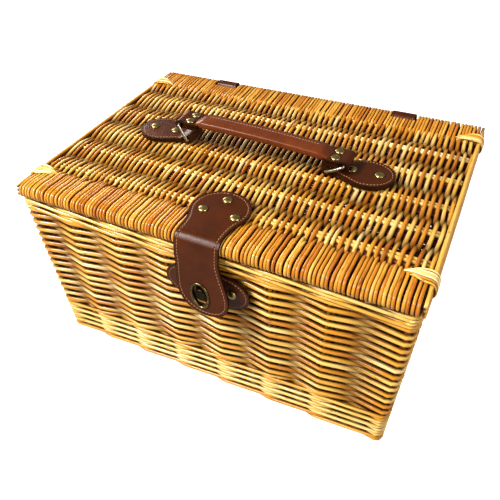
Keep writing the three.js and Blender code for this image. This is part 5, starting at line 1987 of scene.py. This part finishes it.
@dataclass
class Handle(Part):
    """The carrying handle: lid plates, wire rings, folded wraps and the sewn grip.

    Attributes:
        middle_x: Middle between the ring pivots.
        pivot_half: Middle to each ring pivot.
        pivot_z: Height of the pivots.
        ring_reach: Between a ring's two bars.
        ring_half: Middle of a ring to its side wire.
        ring_corner: Radius of a ring's corners.
        wire: Half the wire's thickness.
        bore: Radius of the leather's inner face round a bar.
        rises: Angle of the left and right ring above the lid, in degrees.
        leather: Thickness of plates and wraps.
        plate_length: Pivot to the plate's round end.
        plate_half: Half the plate's width.
        neck_half: Half the plate's width at the ring.
        plate_rivets: Rivets from the pivot.
        wrap_length: Bar to the wrap's inner edge.
        wrap_half: Half a wrap's width.
        wrap_core: Half the thickness of what a wrap closes on.
        wrap_rivet: Rivets from the bar.
        wrap_rivet_row: Rivets each side of the handle's middle.
        grip_half_width: Half the grip's width.
        grip_height: Its height.
        grip_arch: How much its middle rises.
        grip_seam: Where its lap ends, behind its middle.
        grip_lap: How proud the lap is.
        grip_tuck: Length of each end inside its wrap.
    """

    middle_x: float = -2.4
    pivot_half: float = 76.2
    pivot_z: float = 204.5
    ring_reach: float = 20.0
    ring_half: float = 14.8
    ring_corner: float = 3.0
    wire: float = 1.6
    bore: float = 2.0
    rises: tuple[float, float] = (61.0, 28.0)
    leather: float = 2.2
    plate_length: float = 64.0
    plate_half: float = 23.5
    neck_half: float = 12.5
    plate_rivets: tuple[float, float] = (22.8, 49.3)
    wrap_length: float = 22.4
    wrap_half: float = 13.5
    wrap_core: float = 1.0
    wrap_rivet: float = 10.8
    wrap_rivet_row: float = 6.6
    grip_half_width: float = 12.0
    grip_height: float = 8.4
    grip_arch: float = 1.6
    grip_seam: float = 4.2
    grip_lap: float = 0.7
    grip_tuck: float = 9.0

    def ring_root(self, side: int) -> Vector:
        """Place of a ring's pivot."""
        return Vector((self.middle_x + side * self.pivot_half, 0, self.pivot_z))

    def ring_way(self, side: int) -> Vector:
        """Direction from a ring's pivot to its upper bar."""
        rise = math.radians(self.rises[0] if side < 0 else self.rises[1])
        return Vector((side * math.cos(rise), 0, math.sin(rise)))

    def bar(self, side: int) -> Vector:
        """Place of a ring's upper bar."""
        return self.ring_root(side) + self.ring_way(side) * self.ring_reach

    def handle_frame(self) -> Matrix:
        """Frame of the grip: local X from the left bar to the right, local Z up."""
        left, right = self.bar(-1), self.bar(1)
        slope = math.atan2(left.z - right.z, right.x - left.x)
        return Matrix.Translation((left + right) / 2) @ Matrix.Rotation(slope, 4, "Y")

    def half_span(self) -> float:
        """Half the distance between the wraps' bars, with their play."""
        return (self.bar(1) - self.bar(-1)).length / 2 + 0.3

    def plate_half_width(self, away: float) -> float:
        """Half a plate's width at a distance from the ring's bar."""
        belly = self.plate_length * 0.56
        step = smooth_step(min(away, belly), 4.0, belly + 4.0)
        wide = self.neck_half + (self.plate_half - self.neck_half) * step
        if away < belly:
            return wide
        share = min(1.0, (away - belly) / (self.plate_length - belly))
        return max(NARROWEST, wide * round_off(share, 2.2))

    def build_plate(self, name: str, side: int) -> None:
        """Builds one lid plate, folded round its ring, with its stitches and rivets."""
        half_turn = math.pi * self.bore / 2
        reach = self.plate_length + half_turn
        root = self.ring_root(side)

        def levels(away: float) -> tuple[float, float]:
            """Upper layer, which settles on the lower one, and lower layer."""
            return self.bore - 2 * self.bore * smooth_step(away, 0.0, 13.0), self.bore

        def place(along: float, across: float, height: float) -> Vector:
            """Folds the strip round the ring."""
            past, z = fold(along, height, self.bore, levels)
            return root + Vector((-side * past, across, z))

        cut = FlatCut(-reach, reach, lambda s: self.plate_half_width(max(0.0, abs(s) - half_turn)))
        plate = LeatherPiece(
            "handle_plate_leather_" + name, cut, place, self.leather, rows=110, columns=18
        )
        self.skin(plate.shape(), "lid", "handle_plate_" + name)
        seam = FlatCut(-reach, -half_turn - SEAM_INSET, cut.half_width).inside(SEAM_INSET)
        self.thread("handle_plate_stitching_" + name, plate.stitches(seam), "lid")
        for number, away in enumerate(self.plate_rivets, 1):
            spot = Matrix.Translation(root + Vector((side * away, 0, self.leather - self.bore)))
            self.rivet(f"plate_stud_{name}_{number}", spot, "lid", f"plate_rivet_{name}_{number}")

    def build_ring(self, name: str, side: int) -> None:
        """Builds one wire ring, standing at its rest angle."""
        corner = self.ring_corner
        points = []
        for sign, low, start in ((1, corner, -90), (1, self.ring_reach - corner, 0),
                                 (-1, self.ring_reach - corner, 90), (-1, corner, 180)):
            for turn in (0, 30, 60, 90):
                spot = ray(math.radians(start + turn), corner)
                aside = Vector((0, sign * (self.ring_half - corner) + spot.x, 0))
                points.append(self.ring_root(side) + self.ring_way(side) * (low + spot.y) + aside)
        wire = Strand(points, self.wire, closed=True)
        self.lay("ring_wire_" + name, [wire], self.finishes.steel, Slot.STEEL, "ring_" + name,
                 "handle_ring_" + name, corners=14)

    def build_wrap(self, name: str, side: int) -> None:
        """Builds one wrap, folded round its bar and over the grip's end, and its rivets."""
        local = self.handle_frame()
        half_turn = math.pi * self.bore / 2
        reach = self.wrap_length + half_turn

        def levels(away: float) -> tuple[float, float]:
            """Both layers, which close on the grip's end."""
            level = self.bore + (self.wrap_core - self.bore) * smooth_step(away, 1.0, 9.0)
            return level, level

        def place(along: float, across: float, height: float) -> Vector:
            """Folds the strip round the bar."""
            past, z = fold(along, height, self.bore, levels)
            return local @ Vector((side * (self.half_span() + past), across, z))

        def half_width(along: float) -> float:
            """Half the wrap's width, narrower at the bar and rounded at its corners."""
            away = max(0.0, abs(along) - half_turn)
            wide = self.wrap_half - 1.2 * (1 - smooth_step(away, 3.0, 9.0))
            corner = min(1.0, max(0.0, (away - self.wrap_length + 2.0) / 2.0))
            return wide - 2.0 * (1 - round_off(corner))

        cut = FlatCut(-reach, reach, half_width)
        wrap = LeatherPiece(
            "handle_wrap_leather_" + name, cut, place, self.leather, rows=70, columns=14
        )
        self.skin(wrap.shape(), "handle", "handle_wrap_" + name)
        up = self.wrap_core + self.leather
        burr_profile = [(0.2, -0.1), (0.0, 0.3), (0.6, 0.8), (2.2, 0.9)]
        for row, end in ENDS:
            x, y = side * (self.half_span() - self.wrap_rivet), end * self.wrap_rivet_row
            spot = local @ Matrix.Translation((x, y, up))
            self.rivet(f"wrap_stud_{name}_{row}", spot, "handle", f"wrap_rivet_{name}_{row}")
            under = local @ Matrix.Translation((x, y, -up)) @ Matrix.Rotation(math.pi, 4, "X")
            burr = turn_oval(f"wrap_burr_{name}_{row}", burr_profile, (3.2, 3.2), under, corners=16)
            dress(burr, [self.finishes.brass], "handle")

    def build_grip(self) -> None:
        """Builds the rolled grip: flat top, round sides and a sewn lap behind its middle."""
        local = self.handle_frame()
        bare = self.half_span() - self.wrap_length
        half = bare + self.grip_tuck
        mouth, flat_sides, flat_top = 0.96, 0.6, 0.55
        bm = bmesh.new()
        layer = bm.verts.layers.float.new("rim")
        grid = bmesh.ops.create_grid(bm, x_segments=64, y_segments=40, size=0.5)

        def spot(share: float, turn: float, grow: float = 0.0) -> Vector:
            """Place on the grip's skin: share along it, turn round it from the crest."""
            u = (share - 0.5) * 2 * half
            tucked = abs(u) / bare - mouth
            in_wrap = tucked >= 0.0
            full = max(0.3, 1.0 - tucked * 5.0) if in_wrap else 1.0
            sine, cosine = math.sin(turn * 2 * math.pi), math.cos(turn * 2 * math.pi)
            wide = self.grip_half_width * (0.94 if in_wrap else 1.0)
            across = (wide + grow) * math.copysign(abs(sine) ** flat_sides, sine)
            tall = self.grip_height * full / 2
            up = (tall + grow) * math.copysign(abs(cosine) ** flat_top, cosine)
            arch = self.grip_arch * (1 - min(1.0, (u / bare) ** 2))
            lap = self.grip_lap * (1.0 - smooth_step(across, self.grip_seam, self.grip_seam + 0.9))
            return local @ Vector((u, across, up + tall - 1.0 + arch + (lap if up > 0 else 0.0)))

        for vertex in grid["verts"]:
            vertex[layer] = 9.0
            vertex.co = spot(vertex.co.x + 0.5, vertex.co.y + 0.5)
        bmesh.ops.remove_doubles(bm, verts=bm.verts[:], dist=0.001)
        bmesh.ops.holes_fill(bm, edges=[edge for edge in bm.edges if edge.is_boundary], sides=0)
        bmesh.ops.recalc_face_normals(bm, faces=bm.faces[:])
        bm.transform(Matrix.Scale(MM, 4))
        grip = link_mesh("grip_leather_roll", bm)
        grip.data.shade_smooth()
        grip.data.set_sharp_from_angle(angle=math.radians(60))
        dress(grip, [self.finishes.grip], "handle", ["handle_grip"])
        seam_turn = 0.011
        places, skyward = (
            [spot(share, seam_turn, grow) for share in np.linspace(0.1, 0.9, 90)] for grow in (0.0, 1.0)
        )
        outs = [above - place for above, place in zip(skyward, places)]
        self.thread("grip_stitching", sew(places, outs), "handle", Slot.GRIP)

    def build(self) -> None:
        """Builds both ends of the handle and the grip between them."""
        for name, side in SIDES:
            self.build_plate(name, side)
            self.build_ring(name, side)
            self.build_wrap(name, side)
        self.build_grip()


# Camera, light and floor


@dataclass
class Studio:
    """The pale floor, the soft lights and the camera at the photograph's view.

    Attributes:
        eye: The camera's place, in metres.
        right: Direction to the picture's right.
        down: Direction to the picture's lower edge.
        lens: Focal length on a 36 mm frame.
        shift: Sideways and upward shift of the frame.
        lights: Name, place, size and power of each soft light.
        foot_half: Half the length and depth of the floor that the basket covers.
    """

    eye: tuple[float, float, float] = (0.2270, -0.5013, 0.5321)
    right: tuple[float, float, float] = (0.8882, 0.4575, -0.0418)
    down: tuple[float, float, float] = (0.2167, -0.4974, -0.8400)
    lens: float = 44.8
    shift: tuple[float, float] = (0.0592, -0.1555)
    lights: tuple[tuple[str, tuple[float, float, float], float, float], ...] = (
        ("key", (-0.95, -0.85, 1.4), 0.4, 38.0),
        ("window", (-0.5, -1.25, 1.05), 0.5, 12.0),
        ("side", (1.3, -0.5, 0.9), 0.7, 12.0),
        ("back", (-1.35, 1.0, 0.65), 0.6, 9.0),
    )
    foot_half: tuple[float, float] = (0.176, 0.129)

    def add_camera(self) -> None:
        """Puts the camera at the photograph's view."""
        data = bpy.data.cameras.new("photo_view")
        data.sensor_width = 36.0
        data.lens = self.lens
        data.shift_x, data.shift_y = self.shift
        data.clip_start = 0.01
        side = Vector(self.right).normalized()
        back = side.cross(-Vector(self.down)).normalized()
        camera = link("photo_view", data)
        turn = Matrix((side, back.cross(side), back)).transposed().to_4x4()
        camera.matrix_world = Matrix.Translation(self.eye) @ turn
        bpy.context.scene.camera = camera

    def add_lights(self) -> None:
        """Adds the square soft lights, all turned to the basket."""
        for name, place, size, power in self.lights:
            data = bpy.data.lights.new(name, "AREA")
            data.size = size
            data.energy = power
            lamp = link(name, data)
            lamp.location = place
            aim = Vector((0, 0, 0.12)) - Vector(place)
            lamp.rotation_euler = aim.to_track_quat("-Z", "Y").to_euler()

    def add_floor(self) -> None:
        """Adds the pale floor, which glows to the camera only, and not under the basket."""
        bm = bmesh.new()
        bmesh.ops.create_grid(bm, x_segments=2, y_segments=2, size=6.0)
        floor = link_mesh("studio_floor", bm)
        floor.location.z = -0.0004
        material, bench, shader = start_material("floor_paper")
        seen = bench.add("LightPath").outputs["Is Camera Ray"]
        spot = bench.add("SeparateXYZ", {0: bench.place()}).outputs
        shares = [
            bench.math("DIVIDE", bench.math("ABSOLUTE", spot[axis]), half)
            for axis, half in enumerate(self.foot_half)
        ]
        uncovered = bench.math("GREATER_THAN", bench.math("MAXIMUM", *shares), 1.0)
        bench.fill(shader, {
            "Base Color": (0.3, 0.3, 0.3, 1.0),
            "Roughness": 0.9,
            "Emission Color": WHITE,
            "Emission Strength": bench.times(seen, uncovered),
        })
        floor.data.materials.append(material)

    def build(self) -> None:
        """Sets up the whole studio."""
        self.add_camera()
        self.add_floor()
        world = bpy.data.worlds.new("studio_air")
        world.use_nodes = True
        air = world.node_tree.nodes["Background"].inputs
        air["Color"].default_value = WHITE
        air["Strength"].default_value = 0.25
        bpy.context.scene.world = world
        bpy.context.scene.view_settings.view_transform = "Standard"
        bpy.context.scene.view_settings.look = "Medium High Contrast"
        self.add_lights()


def main() -> None:
    """Builds the studio and every part of the basket."""
    logging.basicConfig(level=logging.INFO, format="%(name)s: %(message)s")
    Studio().build()
    common = (BasketPlan(), Finishes())
    strap = ClaspStrap(*common)
    for part in (
        WallWeave(*common), BaseWeave(*common), LidWeave(*common), Hinges(*common), strap,
        TurnLock(*common, strap), Handle(*common),
    ):
        part.build()


if __name__ == "__main__":
    main()
